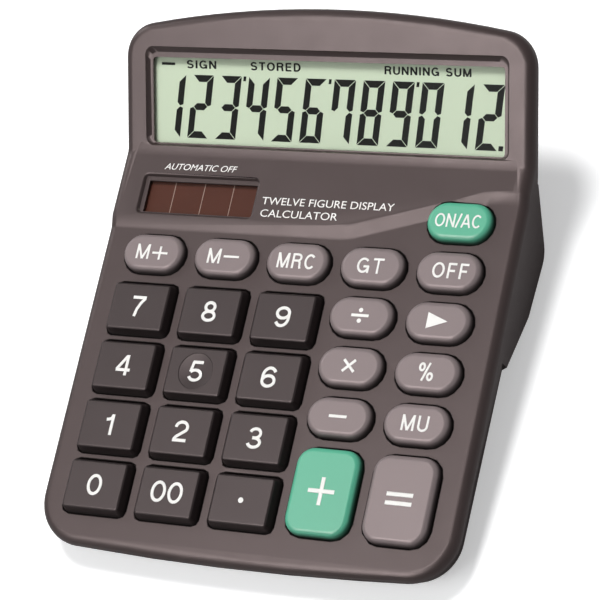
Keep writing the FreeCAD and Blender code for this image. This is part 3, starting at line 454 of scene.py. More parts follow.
@dataclass(frozen=True)
class BareMetal:
    """Drawn or plated metal with fine lines and a few dull patches."""

    name: str
    colour: Colour
    roughness: float = 0.3
    line_scale: tuple[float, float, float] = (60.0, 2600.0, 2600.0)

    def build(self) -> bpy.types.Material:
        """Makes the material.

        Returns:
            The material.
        """
        bench = Bench(self.name)
        here = bench.place()
        drawn = bench.node("ShaderNodeVectorMath", {"operation": "MULTIPLY"}, {0: here, 1: self.line_scale})
        lines = bench.noise(drawn.outputs[0], 1.0, 2.0)
        patches = bench.noise(here, 300.0, 3.0)
        shader = bench.principled(
            Base_Color=bench.mix(patches * 0.5 + lines * 0.3, self.colour, shade(self.colour, 0.65)),
            Metallic=1.0,
            Roughness=self.roughness + (lines - 0.5) * 0.15 + (patches - 0.5) * 0.12,
            Normal=bench.bump(lines, 0.000006),
        )
        return bench.surface(shader)


@dataclass(frozen=True)
class BatteryJacket:
    """A steel can in a printed plastic jacket: two plain colours, and bare metal at the ends."""

    name: str
    low: float
    high: float
    band: float
    colour: Colour
    band_colour: Colour
    bare_low: float = 0.0004
    bare_high: float = 0.0014

    def build(self) -> bpy.types.Material:
        """Makes the material, with its bands along X.

        Returns:
            The material.
        """
        bench = Bench(self.name)
        here = bench.place()
        across, _, _ = bench.axes(here)
        scuff = bench.noise(here, 500.0, 4.0, 0.7)
        bare = (across < self.low + self.bare_low) + (across > self.high - self.bare_high)
        jacket = bench.mix(across > self.band, self.colour, self.band_colour)
        worn = bench.mix(scuff.ramp(0.6, 0.8) * 0.35, jacket, linear(200, 198, 192))
        shader = bench.principled(
            Base_Color=bench.mix(bare, worn, linear(196, 196, 194)),
            Metallic=bare,
            Roughness=0.3 + scuff * 0.15,
        )
        return bench.surface(shader)


@dataclass(frozen=True)
class BandedResistor:
    """Beige lacquer with colour bands across a resistor's length."""

    name: str
    start: float
    length: float
    body: Colour
    band_half: float = 0.035
    bands: tuple[tuple[float, tuple[int, int, int]], ...] = (
        (0.3, (110, 60, 30)), (0.42, (20, 20, 20)), (0.54, (190, 60, 30)), (0.72, (190, 150, 50)),
    )

    def build(self) -> bpy.types.Material:
        """Makes the material, with its bands along Y.

        Returns:
            The material.
        """
        bench = Bench(self.name)
        here = bench.place()
        _, along, _ = bench.axes(here)
        share = (along - self.start) / self.length
        colour = bench.mix(bench.noise(here, 800.0) * 0.3, self.body, linear(160, 130, 90))
        for middle, tone in self.bands:
            colour = bench.mix((share - middle).size() < self.band_half, colour, linear(*tone))
        shader = bench.principled(Base_Color=colour, Roughness=0.3, Coat_Weight=0.3)
        return bench.surface(shader)


@dataclass(frozen=True)
class StudioFloor:
    """White paper that lifts to white for the camera and keeps the shadows."""

    name: str
    colour: Colour
    bounce: Colour
    lift: float

    def build(self) -> bpy.types.Material:
        """Makes the material.

        Returns:
            The material.
        """
        bench = Bench(self.name)
        seen = bench.amount("ShaderNodeLightPath", "Is Camera Ray")
        paper = bench.noise(bench.place(), 700.0, 3.0)
        diffuse = bench.principled(
            Base_Color=bench.mix(seen, self.bounce, self.colour),
            Roughness=0.9,
            Specular_IOR_Level=0.0,
            Normal=bench.bump(paper, 0.00001),
        )
        glow = bench.node("ShaderNodeEmission", inputs={"Color": WHITE, "Strength": seen * self.lift})
        both = bench.node("ShaderNodeAddShader", inputs={0: diffuse.outputs[0], 1: glow.outputs[0]})
        return bench.surface(both)


# Modelling tools


def only(*objects: bpy.types.Object) -> None:
    """Selects these objects and no other, in object mode; the first becomes the active one.

    Args:
        objects: What is selected; nothing, where none is given.
    """
    if bpy.context.object and bpy.context.object.mode != "OBJECT":
        bpy.ops.object.mode_set(mode="OBJECT")
    bpy.ops.object.select_all(action="DESELECT")
    for item in reversed(objects):
        item.select_set(True)
        bpy.context.view_layer.objects.active = item


def apply_modifier(item: bpy.types.Object, kind: str, **settings: object) -> None:
    """Adds a modifier, sets it and applies it.

    Args:
        item: The object.
        kind: The modifier's type.
        settings: The modifier's settings.
    """
    only(item)
    modifier = item.modifiers.new(kind.lower(), kind)
    for name, value in settings.items():
        setattr(modifier, name, value)
    bpy.ops.object.modifier_apply(modifier=modifier.name)


def smooth(item: bpy.types.Object, angle: float) -> None:
    """Soft shading over the rounded edges, and flat shading on the large faces.

    Args:
        item: The object.
        angle: From how many degrees an edge shows as one.
    """
    only(item)
    bpy.ops.object.shade_smooth_by_angle(angle=math.radians(angle))
    apply_modifier(item, "WEIGHTED_NORMAL", keep_sharp=True, weight=80)


class Shaper:
    """One mesh that is worked on in edit mode, in millimetres."""

    def __init__(self, item: bpy.types.Object) -> None:
        """Takes a mesh object and goes into edit mode.

        Args:
            item: The object.
        """
        self.item = item
        only(item)
        bpy.ops.object.mode_set(mode="EDIT")
        bpy.ops.mesh.select_mode(type="FACE")

    @classmethod
    def plate(
        cls,
        name: str,
        half: Point,
        corner: float = 0.0,
        centre: tuple[float, float, float] = (0.0, 0.0, 0.0),
        steps: int = 8,
    ) -> "Shaper":
        """A flat plate with rounded corners, ready to be drawn up.

        Args:
            name: The piece's name.
            half: Half its width and half its height.
            corner: The radius of its corners.
            centre: Its middle.
            steps: How many faces round one corner.

        Returns:
            The shaper, in edit mode, with the plate selected.
        """
        only()
        bpy.ops.mesh.primitive_plane_add(size=2.0, location=(0.0, 0.0, 0.0))
        item = bpy.context.object
        item.name = name
        item.data.name = name
        work = cls(item)
        bpy.ops.mesh.select_all(action="SELECT")
        bpy.ops.transform.resize(value=(half[0], half[1], 1.0), center_override=(0.0, 0.0, 0.0))
        bpy.ops.transform.translate(value=centre)
        if corner > 0:
            bpy.ops.mesh.select_mode(type="VERT")
            bpy.ops.mesh.select_all(action="SELECT")
            bpy.ops.mesh.bevel(
                offset_type="ABSOLUTE", offset=corner, segments=steps, affect="VERTICES", clamp_overlap=False
            )
            bpy.ops.mesh.select_all(action="SELECT")
            bpy.ops.mesh.remove_doubles(threshold=0.001)
            bpy.ops.mesh.select_mode(type="FACE")
        bpy.ops.mesh.select_all(action="SELECT")
        return work

    def _pick(self, mode: str, test: Callable[[bmesh.types.BMFace | bmesh.types.BMEdge], bool]) -> None:
        """Selects what passes a test, among the faces or the edges, and nothing else.

        Args:
            mode: FACE or EDGE.
            test: What is selected.
        """
        bpy.ops.mesh.select_mode(type=mode)
        bpy.ops.mesh.select_all(action="DESELECT")
        mesh = bmesh.from_edit_mesh(self.item.data)
        for part in mesh.faces if mode == "FACE" else mesh.edges:
            part.select_set(test(part))
        bmesh.update_edit_mesh(self.item.data)

    def pick_faces(self, test: Callable[[bmesh.types.BMFace], bool]) -> None:
        """Selects the faces that pass a test, and nothing else."""
        self._pick("FACE", test)

    def pick_edges(self, test: Callable[[bmesh.types.BMEdge], bool]) -> None:
        """Selects the edges that pass a test, and nothing else."""
        self._pick("EDGE", test)

    def draw_up(self, rise: float) -> None:
        """Extrudes the selected faces straight up."""
        bpy.ops.mesh.extrude_region_move(TRANSFORM_OT_translate={"value": (0.0, 0.0, rise)})

    def inset(self, width: float, rise: float = 0.0) -> None:
        """Insets the selected faces, and raises them."""
        bpy.ops.mesh.inset(thickness=width, depth=rise, use_even_offset=True)

    def round_border(self, width: float, steps: int) -> None:
        """Rounds the edge round the selected faces."""
        bpy.ops.mesh.region_to_loop()
        bpy.ops.mesh.bevel(offset=width, segments=steps, affect="EDGES", clamp_overlap=True)

    def done(self) -> bpy.types.Object:
        """Turns the faces outwards and leaves edit mode.

        Returns:
            The finished object.
        """
        bpy.ops.mesh.select_mode(type="FACE")
        bpy.ops.mesh.select_all(action="SELECT")
        bpy.ops.mesh.remove_doubles(threshold=0.0005)
        bpy.ops.mesh.select_all(action="SELECT")
        bpy.ops.mesh.normals_make_consistent(inside=False)
        bpy.ops.object.mode_set(mode="OBJECT")
        return self.item


@dataclass(frozen=True)
class Plane:
    """A frame on the object: X to the right, Y along it, Z out of it; its own unit is the millimetre."""

    origin: Vector
    along: Vector
    out: Vector

    def matrix(self) -> Matrix:
        """Takes millimetres on the plane to metres in the object's frame.

        Returns:
            The matrix.
        """
        right = self.along.cross(self.out)
        columns = [axis * MM for axis in (right, self.along, self.out)] + [self.origin]
        rows = [[column[i] for column in columns] for i in range(3)]
        return Matrix((*rows, (0.0, 0.0, 0.0, 1.0)))

    def point(self, x: float, y: float, z: float) -> Vector:
        """A point of the plane in the object's frame."""
        return self.matrix() @ Vector((x, y, z))

    def tilted(self, y: float, degrees: float) -> "Plane":
        """Another plane that leaves this one at y and leans up by some degrees."""
        turn = Matrix.Rotation(math.radians(degrees), 3, Vector((1.0, 0.0, 0.0)))
        return Plane(self.point(0.0, y, 0.0), turn @ self.along, turn @ self.out)

    def level(self, node: str) -> float:
        """How far a CAD node reaches out of this plane, in millimetres."""
        back = self.matrix().inverted()
        return max((back @ corner.co).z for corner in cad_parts[node].data.vertices)


def deck_plane() -> Plane:
    """The keyboard's plane, found from the key that sits at its middle row.

    Returns:
        The plane of the deck.
    """
    along = Vector((0.0, math.cos(DECK_TILT), math.sin(DECK_TILT)))
    out = Vector((0.0, -math.sin(DECK_TILT), math.cos(DECK_TILT)))
    corners = [v.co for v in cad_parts["key_8"].data.vertices]
    rows = [corner.dot(along) for corner in corners]
    middle = (min(rows) + max(rows)) / 2
    top = max(corner.dot(out) for corner in corners)
    lows = [corner.x for corner in corners]
    x = (min(lows) + max(lows)) / 2 + Keypad.column_pitch * MM
    origin = Vector((x, 0.0, 0.0)) + along * middle + out * (top - KEY_FORMS[KeyKind.SQUARE].height * MM)
    return Plane(origin, along, out)


def dress(item: bpy.types.Object, material: bpy.types.Material) -> None:
    """Gives an object one material."""
    item.data.materials.clear()
    item.data.materials.append(material)


def seat(item: bpy.types.Object, body: str, nodes: Iterable[str] = ()) -> None:
    """Says which body a piece rides on and which nodes it stands for.

    Args:
        item: The piece.
        body: The body that it rides on.
        nodes: The nodes that it stands for.
    """
    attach(item, body)
    if nodes:
        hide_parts(*nodes)
    LOG.info("%s rides on %s", item.name, body)


def lay(
    item: bpy.types.Object,
    plane: Plane,
    move: Sequence[float],
    material: bpy.types.Material,
    body: str,
    nodes: Iterable[str] = (),
) -> None:
    """Puts a piece that was made in millimetres in its place, in its mesh, and finishes it.

    Args:
        item: The piece, still at the origin.
        plane: The plane that it was drawn on.
        move: How far it goes on the plane first, in millimetres.
        material: Its material.
        body: The body that it rides on.
        nodes: The nodes that it stands for.
    """
    item.data.transform(plane.matrix() @ Matrix.Translation(move))
    item.data.update()
    dress(item, material)
    seat(item, body, nodes)


def widen(item: bpy.types.Object, width: float) -> None:
    """Stretches a piece that is centred on the origin to a width."""
    now = max(corner.co.x for corner in item.data.vertices) * 2
    item.data.transform(Matrix.Diagonal((width / now, 1.0, 1.0, 1.0)))


def copy_of(item: bpy.types.Object, name: str) -> bpy.types.Object:
    """A copy with a mesh of its own.

    Args:
        item: What is copied.
        name: The copy's name.

    Returns:
        The copy.
    """
    twin = item.copy()
    twin.data = item.data.copy()
    twin.name = name
    twin.data.name = name
    bpy.context.collection.objects.link(twin)
    return twin


def discard(*items: bpy.types.Object) -> None:
    """Takes patterns away that were only copied from."""
    for item in items:
        bpy.data.objects.remove(item, do_unlink=True)


# Lettering


def curve_mesh(name: str, lines: Sequence[Stroke], filled: bool, **settings: object) -> bpy.types.Object:
    """Makes lines a mesh by way of a curve.

    Args:
        name: The piece's name.
        lines: The points of each line; a line that ends where it starts is closed.
        filled: Whether each line is the outline of a filled shape.
        settings: The curve's settings.

    Returns:
        The mesh object.
    """
    curve = bpy.data.curves.new(name, "CURVE")
    for setting, value in settings.items():
        setattr(curve, setting, value)
    for line in lines:
        ring = len(line) > 2 and math.dist(line[0], line[-1]) < 1e-6
        points = line[:-1] if ring else line
        spline = curve.splines.new("POLY")
        spline.points.add(len(points) - 1)
        for point, (x, y) in zip(spline.points, points):
            point.co = (x, y, 0.0, 1.0)
        spline.use_cyclic_u = filled or ring
    item = bpy.data.objects.new(name, curve)
    bpy.context.collection.objects.link(item)
    only(item)
    bpy.ops.object.convert(target="MESH")
    bpy.context.object.data.name = name
    return bpy.context.object


@dataclass(frozen=True)
class Lettering:
    """Thin filled print: words in the plain built-in face, and straight-edged shapes."""

    thickness: float = 0.03
    sink: float = 0.01

    def _lift(self, item: bpy.types.Object) -> bpy.types.Object:
        """Raises a flat print so that it only just sinks into the surface."""
        item.data.transform(Matrix.Translation((0.0, 0.0, self.thickness / 2 - self.sink)))
        return item

    def flat_text(self, name: str, words: str, height: float, lean: float = 0.0) -> bpy.types.Object:
        """Words as a thin mesh, centred on the origin, in millimetres.

        Args:
            name: The piece's name.
            words: What is written.
            height: The height of a capital.
            lean: How far the letters lean.

        Returns:
            The mesh object.
        """
        only()
        bpy.ops.object.text_add(location=(0.0, 0.0, 0.0))
        item = bpy.context.object
        item.name = name
        text = item.data
        text.body = "H"
        bpy.context.view_layer.update()
        capital = item.dimensions.y
        scale = height / capital
        text.body = words
        text.resolution_u = 5
        text.shear = lean
        text.extrude = self.thickness / 2 / scale
        bpy.ops.object.convert(target="MESH")
        item = bpy.context.object
        places = [corner.co.x for corner in item.data.vertices]
        centre = Vector(((min(places) + max(places)) / 2, capital / 2, 0.0))
        item.data.transform(Matrix.Diagonal((scale, scale, scale, 1.0)) @ Matrix.Translation(-centre))
        item.data.name = name
        return self._lift(item)

    def flat_shape(self, name: str, outlines: Sequence[Stroke]) -> bpy.types.Object:
        """Straight-edged outlines as one thin mesh, in millimetres."""
        depth = self.thickness / 2
        return self._lift(curve_mesh(name, outlines, True, dimensions="2D", fill_mode="BOTH", extrude=depth))


def arc(x: float, y: float, across: float, up: float, start: float, end: float) -> Stroke:
    """Points along part of an ellipse.

    Args:
        x: Its middle, across.
        y: Its middle, up.
        across: Its half width.
        up: Its half height.
        start: Where the arc starts, in degrees from the right and counter-clockwise.
        end: Where it ends; less than start for a clockwise arc.

    Returns:
        The points in order.
    """
    steps = max(4, round(abs(end - start) / 15))
    turns = [math.radians(start + (end - start) * i / steps) for i in range(steps + 1)]
    return [(x + across * math.cos(turn), y + up * math.sin(turn)) for turn in turns]


def level(y: float, start: float, end: float) -> Stroke:
    """A level stroke."""
    return [(start, y), (end, y)]


def upright(x: float, start: float = 0.0, end: float = 1.0) -> Stroke:
    """An upright stroke."""
    return [(x, start), (x, end)]


def turned(strokes: Sequence[Stroke], width: float) -> list[Stroke]:
    """Strokes of a glyph of some width, turned upside down."""
    return [[(width - x, 1.0 - y) for x, y in stroke] for stroke in strokes]


STEM = upright(0.1)
SIX = [arc(0.35, 0.55, 0.275, 0.385, 32, 180) + [(0.075, 0.33)], arc(0.335, 0.315, 0.26, 0.25, 0, 360)]
LOW_BOWL = arc(0.335, 0.285, 0.255, 0.22, 0, 360)

# The width of each glyph and its strokes, for a capital of height 1
GLYPHS: dict[str, tuple[float, list[Stroke]]] = {
    " ": (0.3, []),
    "0": (0.67, [arc(0.335, 0.5, 0.265, 0.435, 0, 360)]),
    "1": (0.52, [[(0.1, 0.735), (0.24, 0.76), (0.33, 0.83), (0.36, 0.95)], upright(0.375, 1.0, 0.0)]),
    "2": (0.67, [arc(0.33, 0.68, 0.25, 0.255, 180, -32) + [(0.16, 0.23), (0.09, 0.11)], level(0.065, 0.03, 0.62)]),
    "3": (
        0.67,
        [arc(0.32, 0.72, 0.22, 0.215, 165, -90), arc(0.32, 0.285, 0.255, 0.22, 90, -168), level(0.505, 0.22, 0.34)],
    ),
    "4": (0.68, [upright(0.48, 1.0, 0.0), level(0.27, 0.66, 0.03), [(0.06, 0.27), (0.45, 0.95)]]),
    "5": (0.67, [level(0.935, 0.6, 0.15), [(0.19, 0.95), (0.115, 0.46)], arc(0.33, 0.31, 0.26, 0.245, 145, -162)]),
    "6": (0.67, SIX),
    "7": (0.66, [level(0.935, 0.04, 0.63), [(0.6, 0.92), (0.43, 0.66), (0.31, 0.37), (0.24, 0.0)]]),
    "8": (0.67, [arc(0.335, 0.72, 0.2, 0.215, 0, 360), LOW_BOWL]),
    "9": (0.67, turned(SIX, 0.67)),
    "A": (0.68, [[(0.02, 0.0), (0.33, 0.98)], [(0.35, 0.98), (0.66, 0.0)], level(0.3, 0.14, 0.54)]),
    "C": (0.72, [arc(0.38, 0.5, 0.31, 0.435, 42, 318)]),
    "D": (0.72, [STEM, level(0.935, 0.1, 0.32) + arc(0.33, 0.5, 0.3, 0.435, 90, -90) + [(0.1, 0.065)]]),
    "E": (0.64, [STEM, level(0.935, 0.1, 0.6), level(0.51, 0.1, 0.56), level(0.065, 0.1, 0.61)]),
    "F": (0.6, [STEM, level(0.935, 0.1, 0.57), level(0.49, 0.1, 0.5)]),
    "G": (0.78, [arc(0.39, 0.5, 0.32, 0.435, 42, 330), level(0.43, 0.4, 0.73), upright(0.69, 0.46, 0.0)]),
    "I": (0.2, [STEM]),
    "M": (
        0.83,
        [upright(0.08), [(0.09, 0.96), (0.415, 0.02)], [(0.415, 0.02), (0.74, 0.96)], upright(0.75, 1.0, 0.0)],
    ),
    "N": (0.7, [upright(0.08), [(0.09, 0.95), (0.61, 0.05)], upright(0.62, 1.0, 0.0)]),
    "O": (0.78, [arc(0.39, 0.5, 0.325, 0.435, 0, 360)]),
    "R": (
        0.72,
        [
            STEM,
            level(0.935, 0.1, 0.42) + arc(0.42, 0.73, 0.2, 0.205, 90, -90) + [(0.1, 0.525)],
            [(0.45, 0.53), (0.57, 0.42), (0.6, 0.12), (0.65, 0.0)],
        ],
    ),
    "S": (0.68, [arc(0.335, 0.715, 0.24, 0.22, 22, 270) + arc(0.345, 0.28, 0.26, 0.215, 90, -158)]),
    "T": (0.64, [level(0.935, 0.0, 0.64), upright(0.32, 0.935, 0.0)]),
    "U": (0.7, [[(0.08, 1.0), (0.08, 0.34)] + arc(0.35, 0.335, 0.27, 0.27, 180, 360) + [(0.62, 1.0)]]),
    "/": (0.3, [[(0.0, -0.03), (0.3, 1.03)]]),
    "%": (
        0.88,
        [arc(0.19, 0.75, 0.13, 0.185, 0, 360), arc(0.69, 0.25, 0.13, 0.185, 0, 360), [(0.27, 0.0), (0.61, 1.0)]],
    ),
    "+": (0.95, [level(0.45, 0.0, 0.95), upright(0.475, 0.9, 0.0)]),
    "−": (0.95, [level(0.5, 0.0, 0.95)]),
}


@dataclass(frozen=True)
class StrokeFace:
    """Plain upright letters and figures drawn with one stroke width."""

    weight: float
    thickness: float = 0.02
    spacing: float = 0.17
    sides: int = 2

    def strokes(self, name: str, strokes: Sequence[Stroke]) -> bpy.types.Object:
        """Draws strokes of the face's weight as one thin mesh, in millimetres.

        Args:
            name: The piece's name.
            strokes: The middle line of each stroke.

        Returns:
            The mesh object.
        """
        tube = {"bevel_depth": self.weight / 2, "bevel_resolution": self.sides, "use_fill_caps": True}
        item = curve_mesh(name, strokes, False, dimensions="3D", twist_mode="Z_UP", **tube)
        item.data.transform(Matrix.Diagonal((1.0, 1.0, self.thickness * 2 / self.weight, 1.0)))
        only(item)
        bpy.ops.object.shade_smooth()
        return item

    def write(self, name: str, words: str, height: float, stretch: float = 1.0) -> bpy.types.Object:
        """Writes words, centred on the origin.

        Args:
            name: The piece's name.
            words: What is written.
            height: The height of a capital.
            stretch: How wide the letters are set.

        Returns:
            The mesh object.
        """
        placed: list[Stroke] = []
        left = 0.0
        for letter in words:
            width, strokes = GLYPHS[letter]
            placed += [[(left + x, y) for x, y in stroke] for stroke in strokes]
            left += width + self.spacing
        middle = (left - self.spacing) / 2
        wide = height * stretch
        return self.strokes(name, [[((x - middle) * wide, (y - 0.5) * height) for x, y in line] for line in placed])


def bar(x: float, y: float, width: float, height: float) -> Stroke:
    """The corners of an upright bar, by its middle and size.

    Args:
        x: Its middle, across.
        y: Its middle, up.
        width: Its width.
        height: Its height.

    Returns:
        The four corners.
    """
    left, right = x - width / 2, x + width / 2
    low, high = y - height / 2, y + height / 2
    return [(left, low), (right, low), (right, high), (left, high)]


# Keys


class KeyKind(Enum):
    """The three shapes of key."""

    SQUARE = "square"
    OVAL = "oval"
    TALL = "tall"


class KeyTone(Enum):
    """The colours of key plastic."""

    DARK = "key_dark"
    LIGHT = "key_light"
    GREEN = "key_green"


@dataclass(frozen=True)
class KeyForm:
    """Sizes of one kind of key, in millimetres."""

    half: Point
    corner: float
    height: float
    wall: float
    taper: float
    edge: float
    edge_steps: int
    gap: float = 0.35
    lip: float = 0.5
    flange_low: float = -2.75
    flange_thick: float = 0.95
    stem_half: float = 1.8
    stem_low: float = -3.0

    def build(self, name: str) -> bpy.types.Object:
        """Models one key at the plane's origin.

        Args:
            name: The name of the pattern.

        Returns:
            The finished mesh object, with flange and stem.
        """
        half = (self.half[0] + self.lip, self.half[1] + self.lip)
        work = Shaper.plate(name, half, self.corner + self.lip, (0.0, 0.0, self.flange_low))
        work.draw_up(self.flange_thick)
        work.inset(self.lip + self.gap)
        work.draw_up(self.wall - self.flange_low - self.flange_thick)
        work.inset(self.taper, self.height - self.wall)
        work.round_border(self.edge, self.edge_steps)
        cap = work.done()
        stem = Shaper.plate(name + "_stem", (self.stem_half, self.stem_half), 0.0, (0.0, 0.0, self.stem_low))
        stem.draw_up(self.flange_low + self.flange_thick / 2 - self.stem_low)
        post = stem.done()
        only(cap, post)
        bpy.ops.object.join()
        return cap


KEY_FORMS = {
    KeyKind.SQUARE: KeyForm((9.48, 7.54), 1.9, 2.7, 0.0, 0.85, 0.45, 4),
    KeyKind.OVAL: KeyForm((9.42, 5.68), 5.68, 2.3, 0.6, 0.45, 1.0, 7),
    KeyKind.TALL: KeyForm((9.38, 11.95), 5.0, 2.3, 0.6, 0.45, 1.0, 7),
}


@dataclass(frozen=True)
class KeySpec:
    """One key: its kind, its colour, its place and what is printed on it."""

    node: str
    kind: KeyKind
    tone: KeyTone
    column: int
    y: float
    legend: str
    size: float


@dataclass
class Keypad:
    """All keys with their legends."""

    deck: Plane
    plastics: dict[KeyTone, bpy.types.Material]
    ink: bpy.types.Material
    column_pitch: float = 21.6
    row_pitch: float = 16.6
    oval_first: float = 15.75
    oval_pitch: float = 13.7
    tall_y: float = -45.3
    digit_height: float = 5.7
    legend_height: float = 4.2
    dish_radius: float = 4.9
    dish_depth: float = 0.28
    dish_step: float = 0.14
    dish_rings: int = 6
    dish_steps: int = 16
    dish_share: float = 0.3
    crease: float = 38.0
    digit_weight: float = 0.9
    digit_stretch: float = 1.18
    letter_weight: float = 0.64
    small_weight: float = 0.5
    small_height: float = 3.7
    small_stretch: float = 0.95
    percent_height: float = 4.9
    letters: Lettering = Lettering()

    WIDE = {"M+": 1.16, "M−": 1.14, "GT": 1.12, "OFF": 1.03, "MU": 1.05}
    SHIFT = {"OFF": 0.8, "GT": -0.2}
    SHAPES = {
        "point": [arc(0.0, -0.1, 0.74, 0.74, 0, 345)],
        "arrow": [[(-2.75, -2.2), (2.95, 0.0), (-2.75, 2.2)]],
        "divide": [arc(0.0, 1.45, 0.6, 0.6, 0, 345), bar(0.0, 0.0, 4.9, 0.75), arc(0.0, -1.45, 0.6, 0.6, 0, 345)],
    }
    SIGNS = {
        "bar": (0.8, [level(0.0, -2.5, 2.5)]),
        "times": (0.8, [[(-1.65, -1.6), (1.65, 1.6)], [(-1.65, 1.6), (1.65, -1.6)]]),
        "plus": (1.15, [level(0.0, -3.7, 3.7), upright(0.0, -3.7, 3.7)]),
        "equals": (1.15, [level(1.15, -3.65, 3.65), level(-1.15, -3.65, 3.65)]),
    }

    def specs(self) -> list[KeySpec]:
        """Every key of the keypad.

        Returns:
            The keys, row by row.
        """
        square, oval, tall = KeyKind.SQUARE, KeyKind.OVAL, KeyKind.TALL
        dark, light, green = KeyTone.DARK, KeyTone.LIGHT, KeyTone.GREEN
        rows = (("7", "8", "9"), ("4", "5", "6"), ("1", "2", "3"), ("0", "00", "point"))
        keys = [
            KeySpec(f"key_{name}", square, dark, column, -row * self.row_pitch, name, self.digit_height)
            for row, names in enumerate(rows)
            for column, name in enumerate(names)
        ]
        ovals = (
            (0, 0, "m_plus", "M+"), (0, 1, "m_minus", "M−"), (0, 2, "mrc", "MRC"), (0, 3, "gt", "GT"),
            (0, 4, "off", "OFF"), (1, 3, "divide", "divide"), (1, 4, "backspace", "arrow"),
            (2, 3, "multiply", "times"), (2, 4, "percent", "%"), (3, 3, "minus", "bar"), (3, 4, "mu", "MU"),
        )
        for row, column, name, legend in ovals:
            y = self.oval_first - row * self.oval_pitch
            size = self.percent_height if legend == "%" else self.legend_height
            keys.append(KeySpec(f"key_{name}", oval, light, column, y, legend, size))
        top = self.oval_first + self.oval_pitch
        return keys + [
            KeySpec("key_on_ac", oval, green, 4, top, "ON/AC", self.small_height),
            KeySpec("key_plus", tall, green, 3, self.tall_y, "plus", self.digit_height),
            KeySpec("key_equals", tall, light, 4, self.tall_y, "equals", self.digit_height),
        ]

    def dish(self, cap: bpy.types.Object, height: float) -> None:
        """Sinks the finger mark of the middle key into its top.

        Args:
            cap: The key, at the plane's origin.
            height: The height of its top.
        """
        bulge = (self.dish_radius**2 + self.dish_depth**2) / (2 * self.dish_depth)
        reach = self.dish_radius + self.dish_step
        work = Shaper.plate("dish_tool", (reach, reach), reach, (0.0, 0.0, height), self.dish_steps)
        work.inset(self.dish_step, 0.0)
        bpy.ops.transform.translate(value=(0.0, 0.0, -self.dish_step))
        low = 0.0
        for ring in range(1, self.dish_rings):
            radius = self.dish_radius * (1 - ring / self.dish_rings)
            drop = math.sqrt(bulge**2 - radius**2) - (bulge - self.dish_depth)
            work.inset(self.dish_radius / self.dish_rings, 0.0)
            bpy.ops.transform.translate(value=(0.0, 0.0, -(drop - low)))
            low = drop
        work.pick_edges(lambda edge: edge.is_boundary)
        bpy.ops.mesh.extrude_region_move(TRANSFORM_OT_translate={"value": (0.0, 0.0, 1.0)})
        bpy.ops.mesh.edge_face_add()
        tool = work.done()
        apply_modifier(cap, "BOOLEAN", operation="DIFFERENCE", object=tool, solver="EXACT")
        discard(tool)

    def legend(self, key: KeySpec) -> bpy.types.Object:
        """The print of one key, centred on the plane's origin.

        Args:
            key: The key.

        Returns:
            The thin mesh object.
        """
        name = f"{key.node}_legend"
        if key.legend in self.SHAPES:
            return self.letters.flat_shape(name, self.SHAPES[key.legend])
        if key.legend in self.SIGNS:
            weight, strokes = self.SIGNS[key.legend]
            return StrokeFace(weight).strokes(name, strokes)
        if key.node == "key_on_ac":
            return StrokeFace(self.small_weight, spacing=0.12).write(name, key.legend, key.size, self.small_stretch)
        if key.kind is KeyKind.SQUARE:
            face = StrokeFace(self.digit_weight, spacing=0.07)
            return face.write(name, key.legend, key.size, self.digit_stretch)
        return StrokeFace(self.letter_weight).write(name, key.legend, key.size, self.WIDE.get(key.legend, 1.0))

    def build(self) -> None:
        """Models each kind of key once and sets a copy in each place, with its legend."""
        patterns = {kind: form.build(f"pattern_{kind.value}") for kind, form in KEY_FORMS.items()}
        dished = copy_of(patterns[KeyKind.SQUARE], "pattern_dished")
        self.dish(dished, KEY_FORMS[KeyKind.SQUARE].height)
        for pattern in (*patterns.values(), dished):
            smooth(pattern, self.crease)
        for key in self.specs():
            place = Vector(((key.column - 2) * self.column_pitch, key.y, 0.0))
            source = dished if key.node == "key_5" else patterns[key.kind]
            cap = copy_of(source, f"{key.node}_cap")
            body = f"{key.node}_body"
            lay(cap, self.deck, place, self.plastics[key.tone], body, [key.node])
            height = KEY_FORMS[key.kind].height
            if source is dished:
                height -= self.dish_step + self.dish_depth * self.dish_share
            place += Vector((self.SHIFT.get(key.legend, 0.0), 0.0, height))
            lay(self.legend(key), self.deck, place, self.ink, body)
        discard(*patterns.values(), dished)


# Display


